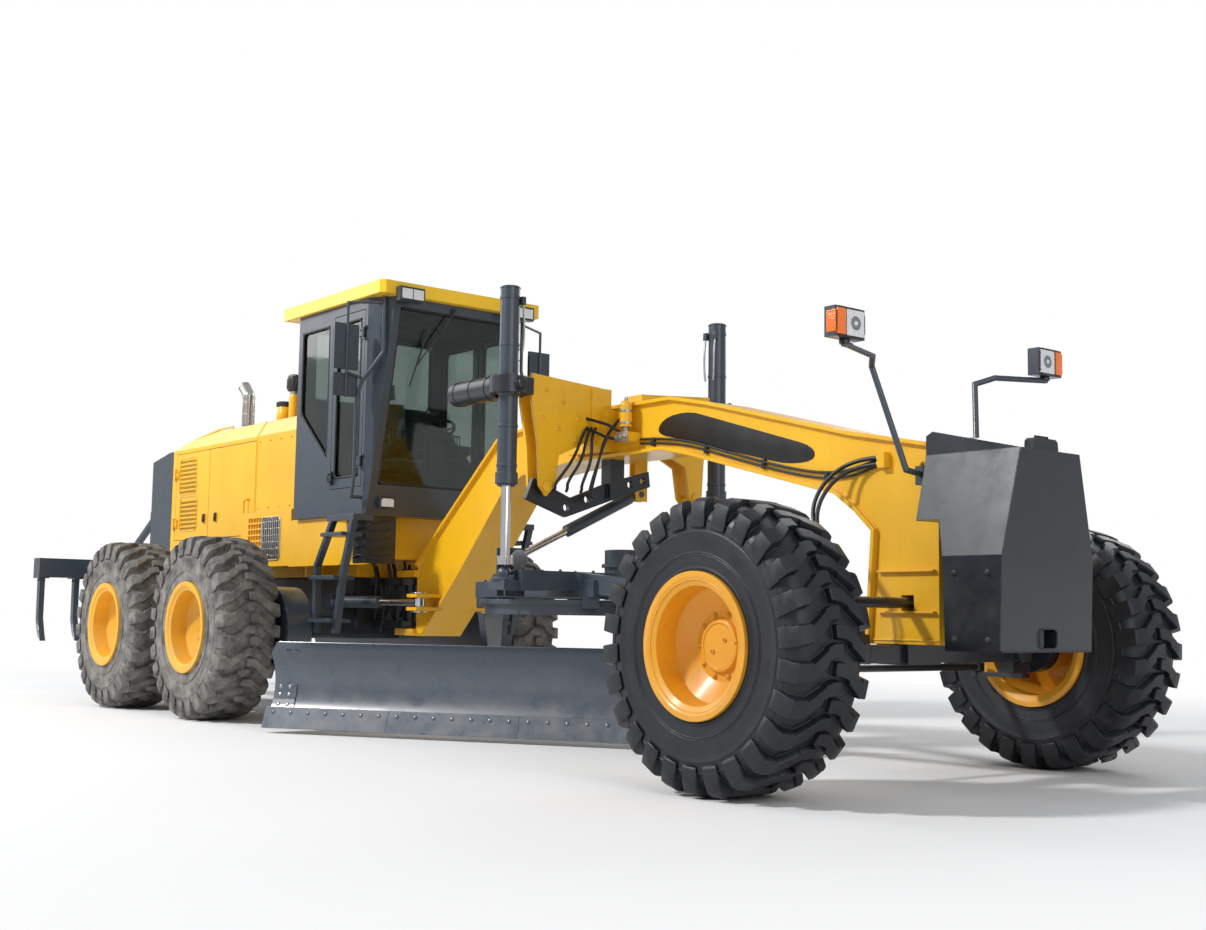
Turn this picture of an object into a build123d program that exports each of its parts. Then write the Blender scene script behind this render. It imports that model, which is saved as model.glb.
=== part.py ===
from build123d import *
from math import atan2, degrees, hypot, pi, radians, tan
import os

# Motor grader in millimetres. +X runs forward, +Y to the operator's left, +Z up.
# The ground is z = 0, and x = 0 is half way between the push block's front and the ripper's back.

# Wheels and tyres
frontAxleX = 5440.0
midAxleX = -1030.0
rearAxleX = -2900.0
halfTrack = 1467.0
tyreRadius = 790.0
tyreHalfWidth = 270.0
lugDepth = 38.0
lugsPerSide = 26
rimFlangeRadius = 392.0
rimBarrelRadius = 330.0
rimHalfWidth = 275.0
rimWall = 15.0
dishDepth = 200.0
hubCapRadius = 146.0
spindleRadius = 60.0

# Fits and gaps
runningFit = 0.05
seatGap = 0.3
doorGap = 6.0

# Steering
kingpinY = 1100.0
kingpinRadius = 40.0
steerArm = 330.0
tieRodZ = 645.0
forkTop = 960.0
forkFoot = 620.0
axleBeamFoot = 690.0
axleBeamTop = 795.0

# Front frame
hingeX = -160.0
hingePinRadius = 60.0
webHalf = 165.0
flangeHalf = 200.0
flangeThick = 25.0
noseX = 5800.0
frontFootZ = 800.0
articulationZ = 1030.0
neckRearX = 190.0
neckFootZ = 745.0
hingeHeadZ = 1310.0
earThick = 60.0
earRadius = 140.0
earGap = 5.0

# Push block
blockTopX = 6440.0
blockFootX = 6400.0
blockTopZ = 1880.0
blockFoldZ = 1295.0
blockFootZ = 776.0
blockTopHalf = 274.0
blockHalf = 418.0
towPinRadius = 25.0
towSlotHalf = 85.0
towSlotHigh = 100.0

# Cab
cabRearX = -950.0
cabSideFrontX = 280.0
cabFootFrontX = 310.0
cabHeadFrontX = 490.0
cabHalf = 780.0
cabFootHalf = 760.0
cabHeadHalf = 640.0
cabFloorZ = 1760.0
cabTopZ = 3600.0
cabWall = 50.0
roofThick = 110.0
roofFrontX = 578.0
roofHalf = 826.0
glassThick = 8.0
doorRearX = -290.0
doorFrontX = 246.0
doorFootZ = 1990.0
doorHeadZ = 3510.0
doorFrame = 60.0

# Engine house
hoodFrontX = -1010.0
hoodRearX = -4200.0
hoodFootZ = 1250.0
hoodTopZ = 2790.0
hoodHalf = 560.0
hoodSkin = 30.0
hoodShoulder = 90.0
guardRearX = -4760.0
panelRearX = -4100.0
panelFrontX = -2200.0
panelFootZ = 1670.0
panelHeadZ = 2600.0

# Blade group
ballX = 5050.0
ballZ = 960.0
ballRadius = 70.0
circleX = 2290.0
circleRadius = 780.0
circleBand = 90.0
circleTopZ = 1050.0
circleDeep = 110.0
ringCap = 35.0
circleTeeth = 64
bladeLength = 4270.0
bladeAngle = 31.7
bladeReach = 511.0
bladeShift = -300.0
bladeBottomZ = 40.0
bladeTopZ = 700.0
bladeThick = 25.0
bladeSpindleZ = 400.0
railSpot = 1380.0
armSpot = 650.0
liftX = 2690.0
liftY = 1010.0
liftPivotZ = 2550.0
liftBallZ = 1225.0
liftBarrelRadius = 70.0
liftBarrelFoot = 1850.0
liftBarrelTop = 3250.0
liftRodRadius = 35.0
liftSocketRadius = 100.0
shiftX = 2480.0
shiftPinY = 380.0
shiftPinZ = 1880.0
shiftEyeY = -800.0
shiftEyeZ = 1330.0

# Tandem drive and chassis
railInner = 280.0
railOuter = 400.0
railFoot = 900.0
railTop = 1250.0
caseInner = 930.0
caseOuter = 1160.0
caseRadius = 360.0
caseOverhang = 440.0

# Ripper
ripperPivotX = -4900.0
ripperPivotZ = 1120.0
ripperBeamX = -6340.0
ripperBeamZ = 1400.0
ripperBeamHalf = 1260.0
ripperArmY = 450.0
shankPitch = 400.0
ripperPinX = -4880.0
ripperPinZ = 1960.0
ripperEyeX = -5700.0
ripperEyeZ = 1500.0

# Hoses: round bosses on the nose and on the axle's manifold, and the routes between them
hoseDiameter = 26.0
bossRadius = 20.0
glandX = 5370.0
portX = 5378.0
portZ = 875.0
portYs = (-350.0, -410.0)
hoseRoutes = {
    "nose_hose_upper": [(glandX, -190, 1905), (5215, -205, 1905), (5060, -275, 1815), (4995, -355, 1650),
                        (5060, -415, 1480), (5200, -430, 1350), (5310, -405, 1195), (5370, -365, 1035),
                        (portX, portYs[0], portZ)],
    "nose_hose_lower": [(glandX, -190, 1868), (5235, -215, 1862), (5105, -300, 1775), (5060, -385, 1620),
                        (5125, -455, 1460), (5255, -485, 1325), (5345, -470, 1165), (5376, -430, 1015),
                        (portX, portYs[1], portZ)],
}

os.makedirs("parts", exist_ok=True)


def box(x0, x1, y0, y1, z0, z1):
    return Pos((x0 + x1) / 2, (y0 + y1) / 2, (z0 + z1) / 2) * Box(x1 - x0, y1 - y0, z1 - z0)


def rod(p, q, r):
    run = Vector(*q) - Vector(*p)
    return extrude(Plane(origin=p, z_dir=run) * Circle(r), run.length)


def profile(points, y0, y1):
    # Side outline of (x, z) points, from y0 to y1
    side = Plane(origin=(0, y1, 0), x_dir=(1, 0, 0), z_dir=(0, -1, 0))
    return extrude(side * make_face(Polyline(*points, close=True)), y1 - y0)


def plan(points, z0, z1):
    # Plan outline of (x, y) points, from z0 to z1
    return extrude(Pos(0, 0, z0) * make_face(Polyline(*points, close=True)), z1 - z0)


def across(points, x0, x1):
    # Cross outline of (y, z) points, from x0 to x1
    end = Plane(origin=(x0, 0, 0), x_dir=(0, 1, 0), z_dir=(1, 0, 0))
    return extrude(end * make_face(Polyline(*points, close=True)), x1 - x0)


def plateRun(points, thick, y0, y1):
    # A bent plate with mitred corners that lies to the left of its run of (x, z) points
    normals = []
    for (xa, za), (xb, zb) in zip(points, points[1:]):
        length = hypot(xb - xa, zb - za)
        normals.append((-(zb - za) / length, (xb - xa) / length))
    inner = []
    for index, (x, z) in enumerate(points):
        n1 = normals[max(index - 1, 0)]
        n2 = normals[min(index, len(normals) - 1)]
        share = thick / (1 + n1[0] * n2[0] + n1[1] * n2[1])
        inner.append((x + (n1[0] + n2[0]) * share, z + (n1[1] + n2[1]) * share))
    return profile(points + inner[::-1], y0, y1)


def tubeRun(points, r):
    # A bent tube of straight stretches with ball corners
    tube = None
    for p, q in zip(points, points[1:]):
        piece = rod(p, q, r)
        tube = piece if tube is None else tube + piece
    for p in points[1:-1]:
        tube += Pos(*p) * Sphere(r + 0.2)
    return tube


def heightAt(edge, x):
    # Height of an edge of (x, z) points at x
    for (xa, za), (xb, zb) in zip(edge, edge[1:]):
        if min(xa, xb) <= x <= max(xa, xb):
            return za + (zb - za) * (x - xa) / (xb - xa)


def along(origin, direction, distance):
    return tuple(Vector(*origin) + direction * distance)


def boss(end, inner):
    # Round boss behind a hose's end, in line with its last run
    back = (Vector(*end) - Vector(*inner)).normalized()
    return rod(end, along(end, back, 30), bossRadius)


def flip(shape):
    return mirror(shape, Plane.XZ)


def save(name, *shapes):
    solids = [solid for shape in shapes for solid in shape.solids()]
    export_step(Compound(solids), f"parts/{name}.step")
    print(name, len(solids))


def savePair(name, shape):
    # The left piece is drawn, and the right one is its mirror image
    save(f"{name}_left", shape)
    save(f"{name}_right", flip(shape))


def doorHinges(x, y, way, heights):
    # Left door's hinges on a vertical line: lugs with a pin on the frame, which lies towards way,
    # and barrels on the door
    pinRadius, barrelRadius, lugThick, halfHigh = 8, 13, 14, 44
    fixed, moving = None, None
    for z in heights:
        lugs = rod((x, y, z - halfHigh - 16), (x, y, z + halfHigh + 16), pinRadius)
        for z0 in (z - halfHigh - 16, z + halfHigh + 2):
            stem = sorted((x - way * pinRadius, x + way * 38))
            foot = sorted((x + way * pinRadius, x + way * 38))
            lugs += box(*stem, y - 8, y + 8, z0, z0 + lugThick)
            lugs += box(*foot, y - 18, y, z0, z0 + lugThick)
        barrel = rod((x, y, z - halfHigh), (x, y, z + halfHigh), barrelRadius)
        barrel += box(*sorted((x, x - way * 70)), y - 18, y - 4, z - halfHigh, z + halfHigh)
        barrel -= rod((x, y, z - 60), (x, y, z + 60), pinRadius + runningFit)
        barrel -= box(*sorted((x + way * 0.5, x + way * 40)), y - 20, y - 14, z - 50, z + 50)
        fixed = lugs if fixed is None else fixed + lugs
        moving = barrel if moving is None else moving + barrel
    return fixed, moving


# Tyre about its own centre: revolved carcass and two rows of slanting lugs, half a pitch apart
crown = tyreRadius - lugDepth
sideWall = [(225, rimBarrelRadius), (250, rimFlangeRadius + 8), (tyreHalfWidth - 8, 560), (250, 690),
            (180, crown)]
tyreOutline = sideWall + [(-y, r) for y, r in reversed(sideWall)]
carcass = revolve(Plane.YZ * make_face(Polyline(*tyreOutline, close=True)), Axis.Y, 360)

# Lug stations from the middle outwards: offset, turn, foot radius, top radius, width round the tyre
lugStations = [
    (0, 0.3, crown - 12, tyreRadius, 72),
    (190, 8.4, crown - 28, tyreRadius - 4, 94),
    (tyreHalfWidth - 4, 9.0, crown - 112, tyreRadius - 68, 104),
]


def lug(side):
    sections = []
    for offset, turn, foot, top, width in lugStations:
        plane = Plane(origin=(0, side * offset, 0), x_dir=(1, 0, 0), z_dir=(0, -1, 0))
        sections.append(Rot(0, turn, 0) * plane * Pos(0, (foot + top) / 2) * Rectangle(width, top - foot))
    return loft(sections, ruled=True)


lugPitch = 360.0 / lugsPerSide
lugs = [Rot(0, lugPitch * (k + start), 0) * lug(side) for side, start in ((1, 0), (-1, 0.5))
        for k in range(lugsPerSide)]
tyre = carcass.fuse(*lugs)

# Rim, outboard at +Y: flanged barrel, dished disc and hub with a blind spindle bore
discOut = rimHalfWidth + 5 - dishDepth
rimLip = rimHalfWidth - 25
innerBarrel = rimBarrelRadius - rimWall
rimOutline = [
    (-rimHalfWidth, rimFlangeRadius - 30), (-rimHalfWidth, rimFlangeRadius), (-rimLip, rimFlangeRadius),
    (-rimLip + 15, rimBarrelRadius), (rimLip - 15, rimBarrelRadius), (rimLip, rimFlangeRadius),
    (rimHalfWidth, rimFlangeRadius), (rimHalfWidth, rimFlangeRadius - 30), (rimLip, innerBarrel),
    (discOut + 40, innerBarrel - 10), (discOut - 20, 190), (discOut - 20, hubCapRadius + 4),
    (discOut, hubCapRadius - 6), (discOut, 0), (discOut - 45, 0),
    (discOut - 45, spindleRadius + runningFit), (-60, spindleRadius + runningFit), (-60, 120),
    (discOut - 60, 150), (discOut - 60, 200), (discOut, rimBarrelRadius - 18), (-rimLip, innerBarrel),
]
rim = revolve(Plane.YZ * make_face(Polyline(*rimOutline, close=True)), Axis.Y, 360)

wheelSpots = [("front", frontAxleX), ("middle", midAxleX), ("rear", rearAxleX)]
for label, x in wheelSpots:
    place = Pos(x, halfTrack, tyreRadius)
    savePair(f"tyre_{label}", place * tyre)
    savePair(f"rim_{label}", place * rim)
spindleEnd = halfTrack + discOut - 50

# Front axle: beam, kingpin forks, lean bar ahead of it and a hose manifold on its top
postX, forkReach, forkThick = 60.0, 62.0, 60.0
axle = box(frontAxleX - 90, frontAxleX + 90, -1000, 1000, axleBeamFoot, axleBeamTop)
axle += box(frontAxleX - 120, frontAxleX + 120, -150, 150, axleBeamFoot - 10, frontFootZ)
for side in (-1, 1):
    axle += box(frontAxleX - postX, frontAxleX + postX, *sorted((side * 940, side * 1005)), forkFoot, forkTop)
    for z0 in (forkFoot, forkTop - forkThick):
        arm = box(frontAxleX - postX, frontAxleX + postX, *sorted((side * 940, side * kingpinY)), z0,
                  z0 + forkThick)
        arm += Pos(frontAxleX, side * kingpinY, z0 + forkThick / 2) * Cylinder(forkReach, forkThick)
        kingpin = Cylinder(kingpinRadius + runningFit, 80)
        axle += arm - Pos(frontAxleX, side * kingpinY, z0 + forkThick / 2) * kingpin
    axle += box(frontAxleX - 30, frontAxleX + 165, side * 940 - 45, side * 940 + 45, axleBeamFoot + 10, 1080)
leanBarX, leanBarZ, leanBarRadius = frontAxleX + 130, 1040.0, 32.0
axle += rod((leanBarX, -900, leanBarZ), (leanBarX, 900, leanBarZ), leanBarRadius)
axle += box(portX - 25, portX + 40, portYs[1] - 30, portYs[0] + 30, axleBeamTop, portZ - 20)
for route in hoseRoutes.values():
    axle += boss(route[-1], route[-2])
save("front_axle", axle)

# Knuckle: kingpin, drum, spindle, brake plate and steering arm with the tie rod's pin
pinX = frontAxleX - steerArm
knuckle = rod((frontAxleX, kingpinY, forkFoot - 35), (frontAxleX, kingpinY, forkTop + 15), kingpinRadius)
knuckle += Pos(frontAxleX, kingpinY, tyreRadius) * Cylinder(74, 200)
knuckle += rod((frontAxleX, kingpinY + 60, tyreRadius), (frontAxleX, spindleEnd, tyreRadius), spindleRadius)
knuckle += rod((frontAxleX, kingpinY + 88, tyreRadius), (frontAxleX, kingpinY + 190, tyreRadius), 170)
armFoot, armThick = forkFoot - 35, 27.0
knuckle += plan([(frontAxleX + 40, kingpinY - 40), (frontAxleX + 40, kingpinY + 40),
                 (pinX, kingpinY + 30), (pinX, kingpinY - 30)], armFoot, armFoot + armThick)
knuckle += Pos(pinX, kingpinY, armFoot + armThick / 2) * Cylinder(38, armThick)
knuckle += rod((pinX, kingpinY, armFoot + 20), (pinX, kingpinY, tieRodZ + 45), 18)
savePair("knuckle", knuckle)

tie = rod((pinX, -kingpinY + 30, tieRodZ), (pinX, kingpinY - 30, tieRodZ), 24)
for side, play in ((-1, 1.0), (1, runningFit)):
    tie += Pos(pinX, side * kingpinY, tieRodZ) * Cylinder(42, 54)
    tie -= Pos(pinX, side * kingpinY, tieRodZ) * Cylinder(18 + play, 80)
save("tie_rod", tie)

# Front frame: arched box beam with flanges, front leg, rear leg and hinge ears
topEdge = [(neckRearX, 1360), (1390, 2350), (2040, 2450), (2740, 2470), (3490, 2475), (3870, 2400),
           (5140, 2085),
           (noseX, 1960)]
lowEdge = [(noseX, frontFootZ), (5270, frontFootZ), (5320, 1470), (5190, 1590), (5020, 1710), (4870, 1745),
           (3710, 2040), (3410, 2105), (3040, 2095), (2350, 2090), (1750, 2030), (1464, 1886), (900, 1288),
           (330, neckFootZ), (neckRearX, neckFootZ)]
frontFrame = profile(topEdge + lowEdge, -webHalf, webHalf)
frontFrame += plateRun(topEdge[::-1], flangeThick, -flangeHalf, flangeHalf)
frontFrame += plateRun(lowEdge[:0:-1], flangeThick, -flangeHalf, flangeHalf)
for z0 in (neckFootZ, hingeHeadZ - earThick):
    ear = plan([(neckRearX + 10, -flangeHalf), (neckRearX + 10, flangeHalf), (hingeX, earRadius),
                (hingeX, -earRadius)],
               z0, z0 + earThick)
    ear += rod((hingeX, 0, z0), (hingeX, 0, z0 + earThick), earRadius)
    frontFrame += ear - rod((hingeX, 0, z0 - 10), (hingeX, 0, z0 + earThick + 10),
                            hingePinRadius + runningFit)
slotPlay = 13.0
frontFrame -= box(leanBarX - 45, leanBarX + 45, -300, 300, leanBarZ - 32 - slotPlay, leanBarZ + 32 + slotPlay)

# Saddle with two pairs of arm plates that hold the lift yokes and the lock bar's pins
yokeFaceY, hangY, hangZ = 860.0, 715.0, 1850.0
frontFrame += box(liftX - 270, liftX + 190, -260, 260, 2130, 2440)
armPlate = [(150, 2600), (yokeFaceY, 2650), (yokeFaceY, 2450), (800, 2150), (780, hangZ), (715, hangZ - 70),
            (650, hangZ), (610, 2080), (330, 2210), (150, 2210)]
for side in (-1, 1):
    for x0 in (liftX - 80, liftX + 55):
        frontFrame += across([(side * y, z) for y, z in armPlate], x0, x0 + 25)
    frontFrame += box(liftX - 100, liftX + 100, *sorted((side * 150, side * 330)), 2250, 2600)
    frontFrame += rod((liftX - 85, side * hangY, hangZ), (liftX + 85, side * hangY, hangZ), 26)

# Rear brackets for the articulation cylinders' eyes
eyeX, eyeY = 500.0, 330.0
lugGap = 40.0
for side in (-1, 1):
    for z0 in (articulationZ - lugGap - 30, articulationZ + lugGap):
        lugPlate = box(eyeX - 80, eyeX + 80, *sorted((side * 150, side * (eyeY + 80))), z0, z0 + 30)
        frontFrame += lugPlate - Pos(eyeX, side * eyeY, z0 + 15) * Cylinder(52, 50)

# Drawbar ball on its stem, centre-shift clevis and hose glands
frontFrame += box(ballX + 75, 5290, -80, 80, ballZ - 80, ballZ + 80)
frontFrame += rod((ballX, 0, ballZ), (ballX + 100, 0, ballZ), 32) + Pos(ballX, 0, ballZ) * Sphere(ballRadius)
shiftPinRadius = 22.0
shiftPin, shiftEye = (shiftX, shiftPinY, shiftPinZ), (shiftX, shiftEyeY, shiftEyeZ)
shiftDir = (Vector(*shiftEye) - Vector(*shiftPin)).normalized()
# The centre-shift cylinder swings about a leaning pin, square to its own line and to the drawbar eye's path
eyePath = Vector(0, 1, 0).cross(Vector(*shiftEye) - Vector(ballX, 0, ballZ))
shiftAxis = shiftDir.cross(eyePath).normalized()
pinHole = rod(along(shiftPin, shiftAxis, -80), along(shiftPin, shiftAxis, 80), shiftPinRadius + runningFit)
for x0 in (shiftX - 40, shiftX + 25):
    ear = box(x0, x0 + 15, 325, 440, 1820, 2200) + box(x0, x0 + 15, 240, 440, 2140, 2200)
    frontFrame += ear - pinHole
frontFrame += box(glandX + 15, glandX + 70, -215, -webHalf, 1840, 1935)
for route in hoseRoutes.values():
    frontFrame += boss(route[0], route[1])
save("front_frame", frontFrame)

# Push block: slanting front, leaning upper flanks, tow slot with its pin and a cap on the top
blockSide = [(noseX, 1990), (5846, 2014), (blockTopX, blockTopZ), (blockFootX, blockFootZ),
             (6036, blockFootZ),
             (6020, blockFoldZ), (5960, 1500), (noseX, 1500)]
block = profile(blockSide, -blockHalf, blockHalf)
block &= across([(-blockHalf, blockFootZ), (-blockHalf, blockFoldZ), (-blockTopHalf, blockTopZ),
                 (-blockTopHalf, 2100), (blockTopHalf, 2100), (blockTopHalf, blockTopZ),
                 (blockHalf, blockFoldZ), (blockHalf, blockFootZ)],
                noseX, blockTopX)
slotFoot = blockFootZ + 24
block -= box(6290, 6500, -towSlotHalf, towSlotHalf, slotFoot, slotFoot + towSlotHigh)
block += rod((6350, 0, blockFootZ), (6350, 0, slotFoot + towSlotHigh + 20), towPinRadius)
block += across([(-120, 1860), (-112, 1935), (-92, 1950), (92, 1950), (112, 1935), (120, 1860)], 6350, 6410)
save("push_block", block)

# Lamp arms from brackets on the nose, each with its lamp housing
lampX, lampY, lampZ = 5770.0, 930.0, 2560.0
armRoute = [(5735, 215, 1775), (5700, 330, 1800), (5575, 480, 2400), (5660, 570, 2440),
            (lampX, lampY, lampZ - 110)]
arm = tubeRun(armRoute, 18)
arm += rod((lampX, lampY, lampZ - 125), (lampX, lampY, lampZ - 80), 20)
arm += box(lampX - 40, lampX + 40, lampY - 120, lampY + 120, lampZ - 85, lampZ + 85)
arm += box(5680, 5790, webHalf, 225, 1720, 1830)
save("lamp_arms", arm, flip(arm))

# Brake accumulator and its valve block on the right of the gooseneck
accX, accY = 3080.0, -250.0
valves = rod((accX, accY, 2290), (accX, accY, 2440), 45) + Pos(accX, accY, 2440) * Sphere(45)
valves += rod((accX, accY, 2240), (accX, accY, 2300), 18)
valves += box(accX - 70, accX + 70, accY - 40, -webHalf, 2180, 2250)
save("valve_block", valves)

# Lift yokes: ring sockets with a long rear tube, and the curved lock bar under the saddle
ringRadius, ringHigh, yokeTubeRadius = 135.0, 120.0, 90.0
yoke = Pos(liftX, liftY, liftPivotZ) * Cylinder(ringRadius, ringHigh)
yoke += box(liftX - 100, liftX + 100, yokeFaceY, yokeFaceY + 60, liftPivotZ - 60, liftPivotZ + 60)
yoke += rod((liftX - 650, liftY, liftPivotZ), (liftX - 90, liftY, liftPivotZ), yokeTubeRadius)
yoke += rod((liftX + 100, liftY, liftPivotZ), (liftX + 165, liftY, liftPivotZ), 45)
yoke -= Pos(liftX, liftY, liftPivotZ) * Sphere(liftSocketRadius + runningFit)
yoke -= rod((liftX, liftY, liftPivotZ - 130), (liftX, liftY, liftPivotZ + 130), 78)
barHalfThick = 20.0
lockBar = across([(-850, 1760), (-490, 1645), (-85, 1785), (305, 1915), (290, 2030), (-100, 1920),
                  (-450, 1785), (-790, 1910)],
                 liftX - barHalfThick, liftX + barHalfThick)
lockBar -= rod((liftX - 30, -hangY, hangZ), (liftX + 30, -hangY, hangZ), 26 + seatGap)
for y, z in ((-490, 1715), (-300, 1785), (110, 1920), (235, 1955)):
    lockBar -= rod((liftX - 30, y, z), (liftX + 30, y, z), 28)
lockHouse = profile([(liftX - 55, 1800), (liftX + 55, 1800), (liftX + 55, heightAt(lowEdge, liftX + 55)),
                     (2700, heightAt(lowEdge, 2700)), (liftX - 55, heightAt(lowEdge, liftX - 55))], -110, 20)
save("lift_yokes", yoke, flip(yoke), lockBar + lockHouse)

# Drawbar: ball socket, two converging legs, lift beam with balls, rear beams with shoes round the circle
beamZ = circleTopZ + 20
drawbar = box(liftX - 130, liftX + 130, -950, 950, 1110, 1250)
shoeReach, shoeTurn = circleRadius + 60, atan2(430, 640)
for side in (-1, 1):
    legFront = Plane(origin=(ballX - 60, side * 50, ballZ), x_dir=(0, 1, 0), z_dir=(-1, 0, 0))
    legBack = Plane(origin=(liftX + 100, side * 430, 1180), x_dir=(0, 1, 0), z_dir=(-1, 0, 0))
    front, back = legFront * Rectangle(90, 130), legBack * Rectangle(130, 140)
    drawbar += loft([front, back], ruled=True)
    drawbar += box(1560, 3030, side * 430 - 55, side * 430 + 55, beamZ, beamZ + 120)
    drawbar += box(liftX - 90, liftX + 90, *sorted((side * 900, side * 1075)), 1110, 1180)
    drawbar += Pos(liftX, side * liftY, liftBallZ) * Sphere(50)
    for turn in (side * shoeTurn, pi - side * shoeTurn):
        shoe = box(circleRadius + 6, shoeReach, -60, 60, circleTopZ - 60, beamZ + 10)
        shoe += box(circleRadius - 32, shoeReach, -60, 60, circleTopZ - 60, circleTopZ - ringCap - seatGap)
        shoe += box(circleRadius - 80, shoeReach, -60, 60, circleTopZ + seatGap, beamZ + 10)
        drawbar += Pos(circleX, 0, 0) * Rot(0, 0, degrees(turn)) * shoe
drawbar += box(ballX - 110, ballX + 32, -98, 98, ballZ - 98, ballZ + 98)
drawbar -= Pos(ballX, 0, ballZ) * Sphere(ballRadius + runningFit)
drawbar += box(1560, 1660, -480, 480, beamZ, beamZ + 120)
drawbar += box(2150, 2350, -480, 480, beamZ, beamZ + 60)
drawbar += rod((2760, 0, beamZ - 14), (2760, 0, 1420), 130)
for x0 in (shiftX - 72, shiftX + 30):
    ear = box(x0, x0 + 15, shiftEyeY - 85, shiftEyeY + 85, beamZ, shiftEyeZ + 85)
    drawbar += ear - rod((x0 - 5, shiftEyeY, shiftEyeZ), (x0 + 20, shiftEyeY, shiftEyeZ), 60)
drawbar += box(shiftX - 78, liftX, shiftEyeY - 60, shiftEyeY + 60, 1110, 1180)
save("drawbar", drawbar)

# Lift cylinders
barrel = rod((liftX, liftY, liftBarrelFoot), (liftX, liftY, liftBarrelTop), liftBarrelRadius)
barrel += Pos(liftX, liftY, liftPivotZ) * Sphere(liftSocketRadius)
barrel += rod((liftX, liftY, liftBarrelFoot), (liftX, liftY, liftBarrelFoot + 80), liftBarrelRadius + 10)
barrel -= rod((liftX, liftY, liftBarrelFoot - 10), (liftX, liftY, liftBarrelTop - 100),
              liftRodRadius + runningFit)
savePair("lift_barrel", barrel)
lift = rod((liftX, liftY, liftBallZ + 65), (liftX, liftY, 2450), liftRodRadius)
lift += rod((liftX, liftY, liftBallZ + 60), (liftX, liftY, liftBallZ + 120), 58)
savePair("lift_rod", lift)

# Centre-shift cylinder from the saddle down to the drawbar
barrel = rod(along(shiftPin, shiftDir, 95), along(shiftPin, shiftDir, 760), 45)
barrel += rod(shiftPin, along(shiftPin, shiftDir, 105), 20)
barrel += rod(along(shiftPin, shiftAxis, -16), along(shiftPin, shiftAxis, 16), 44)
barrel += rod(along(shiftPin, shiftAxis, -50), along(shiftPin, shiftAxis, 50), shiftPinRadius)
barrel -= rod(along(shiftPin, shiftDir, 110), along(shiftPin, shiftDir, 800), 25 + runningFit)
save("shift_barrel", barrel)
piston = rod(along(shiftPin, shiftDir, 420), shiftEye, 25)
piston += rod((shiftX - 15, shiftEyeY, shiftEyeZ), (shiftX + 15, shiftEyeY, shiftEyeZ), 42)
piston += rod((shiftX - 84, shiftEyeY, shiftEyeZ), (shiftX + 93, shiftEyeY, shiftEyeZ), 16)
for x0 in (shiftX - 84, shiftX + 85):
    piston += rod((x0, shiftEyeY, shiftEyeZ), (x0 + 8, shiftEyeY, shiftEyeZ), 72)
save("shift_rod", piston)

# Circle: flanged ring with inner teeth, two blade arms and the side-shift cylinder
toBlade = Pos(circleX, 0, 0) * Rot(0, 0, bladeAngle)
ringLow = circleTopZ - circleDeep
ring = Cylinder(circleRadius, ringCap) - Cylinder(circleRadius - circleBand, ringCap + 5)
ring = Pos(0, 0, circleTopZ - ringCap / 2) * ring
skirtHigh = circleDeep - ringCap
skirt = Cylinder(circleRadius - 40, skirtHigh) - Cylinder(circleRadius - circleBand, skirtHigh + 15)
ring += Pos(0, 0, circleTopZ - ringCap - skirtHigh / 2) * skirt
toothFoot, toothTip = circleRadius - circleBand + 4, circleRadius - circleBand - 32
step = 2 * pi / circleTeeth
tooth = plan([(toothFoot, -0.30 * step * toothFoot), (toothTip, -0.14 * step * toothTip),
              (toothTip, 0.14 * step * toothTip), (toothFoot, 0.30 * step * toothFoot)],
             ringLow, circleTopZ - 10)
ring = ring.fuse(*[Rot(0, 0, 360 / circleTeeth * k) * tooth for k in range(circleTeeth)])
railY0, railY1, railHigh = -300.0, -250.0, 50.0
railFeet = (200.0, 540.0)
for spot in (-armSpot, armSpot):
    plate = across([(-424, ringLow + 1), (-60, ringLow + 1), (-120, 500), (-190, 150), (-312, 150),
                    (-318, 640)],
                   spot - 25, spot + 25)
    for z0 in railFeet:
        plate -= box(spot - 40, spot + 40, railY0 - seatGap, railY1 + seatGap, z0 - seatGap,
                     z0 + railHigh + seatGap)
    ring += plate
slideY, slideRodRadius, slideTailX = -250.0, 25.0, -370.0
ring += rod((-700, slideY, bladeSpindleZ), (600, slideY, bladeSpindleZ), 45)
ring -= rod((-680, slideY, bladeSpindleZ), (800, slideY, bladeSpindleZ), slideRodRadius + runningFit)
save("circle", toBlade * ring)

# Blade: curved moldboard with clipped top corners, cutting edge, two rails, end brackets and the slide rod
left, right = bladeShift - bladeLength / 2, bladeShift + bladeLength / 2
face = -bladeReach
bellyZ, bellyIn, footZ = 370.0, 160.0, 60.0
front = [(face, footZ), (face + bellyIn, bellyZ), (face + 15, bladeTopZ)]
back = [(face + 15 + bladeThick, bladeTopZ), (face + bellyIn + bladeThick, bellyZ),
        (face + bladeThick + 5, footZ)]
edgePlane = Plane(origin=(left, 0, 0), x_dir=(0, 1, 0), z_dir=(1, 0, 0))
outline = ThreePointArc(*front) + Line(front[2], back[0]) + ThreePointArc(*back) + Line(back[2], front[0])
board = extrude(edgePlane * make_face(outline), bladeLength)
clip = 90.0
for x, way in ((left, 1), (right, -1)):
    corner = [(x - way, bladeTopZ - clip), (x - way, bladeTopZ + 1), (x + way * clip, bladeTopZ + 1)]
    board -= profile(corner, face - 10, face + 200)
board += across([(face - 22, bladeBottomZ), (face + 8, bladeBottomZ), (face + 62, 200), (face + 36, 200)],
                left, right)
for z0 in railFeet:
    board += box(bladeShift - railSpot, bladeShift + railSpot, railY0, railY1, z0, z0 + railHigh)
sunk = face + bladeThick / 3
bellyArc = ThreePointArc((sunk, footZ), (sunk + bellyIn, bellyZ), (sunk + 15, bladeTopZ))
bellyRest = Polyline((sunk + 15, bladeTopZ), (face - 200, bladeTopZ), (face - 200, footZ), (sunk, footZ))
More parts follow.
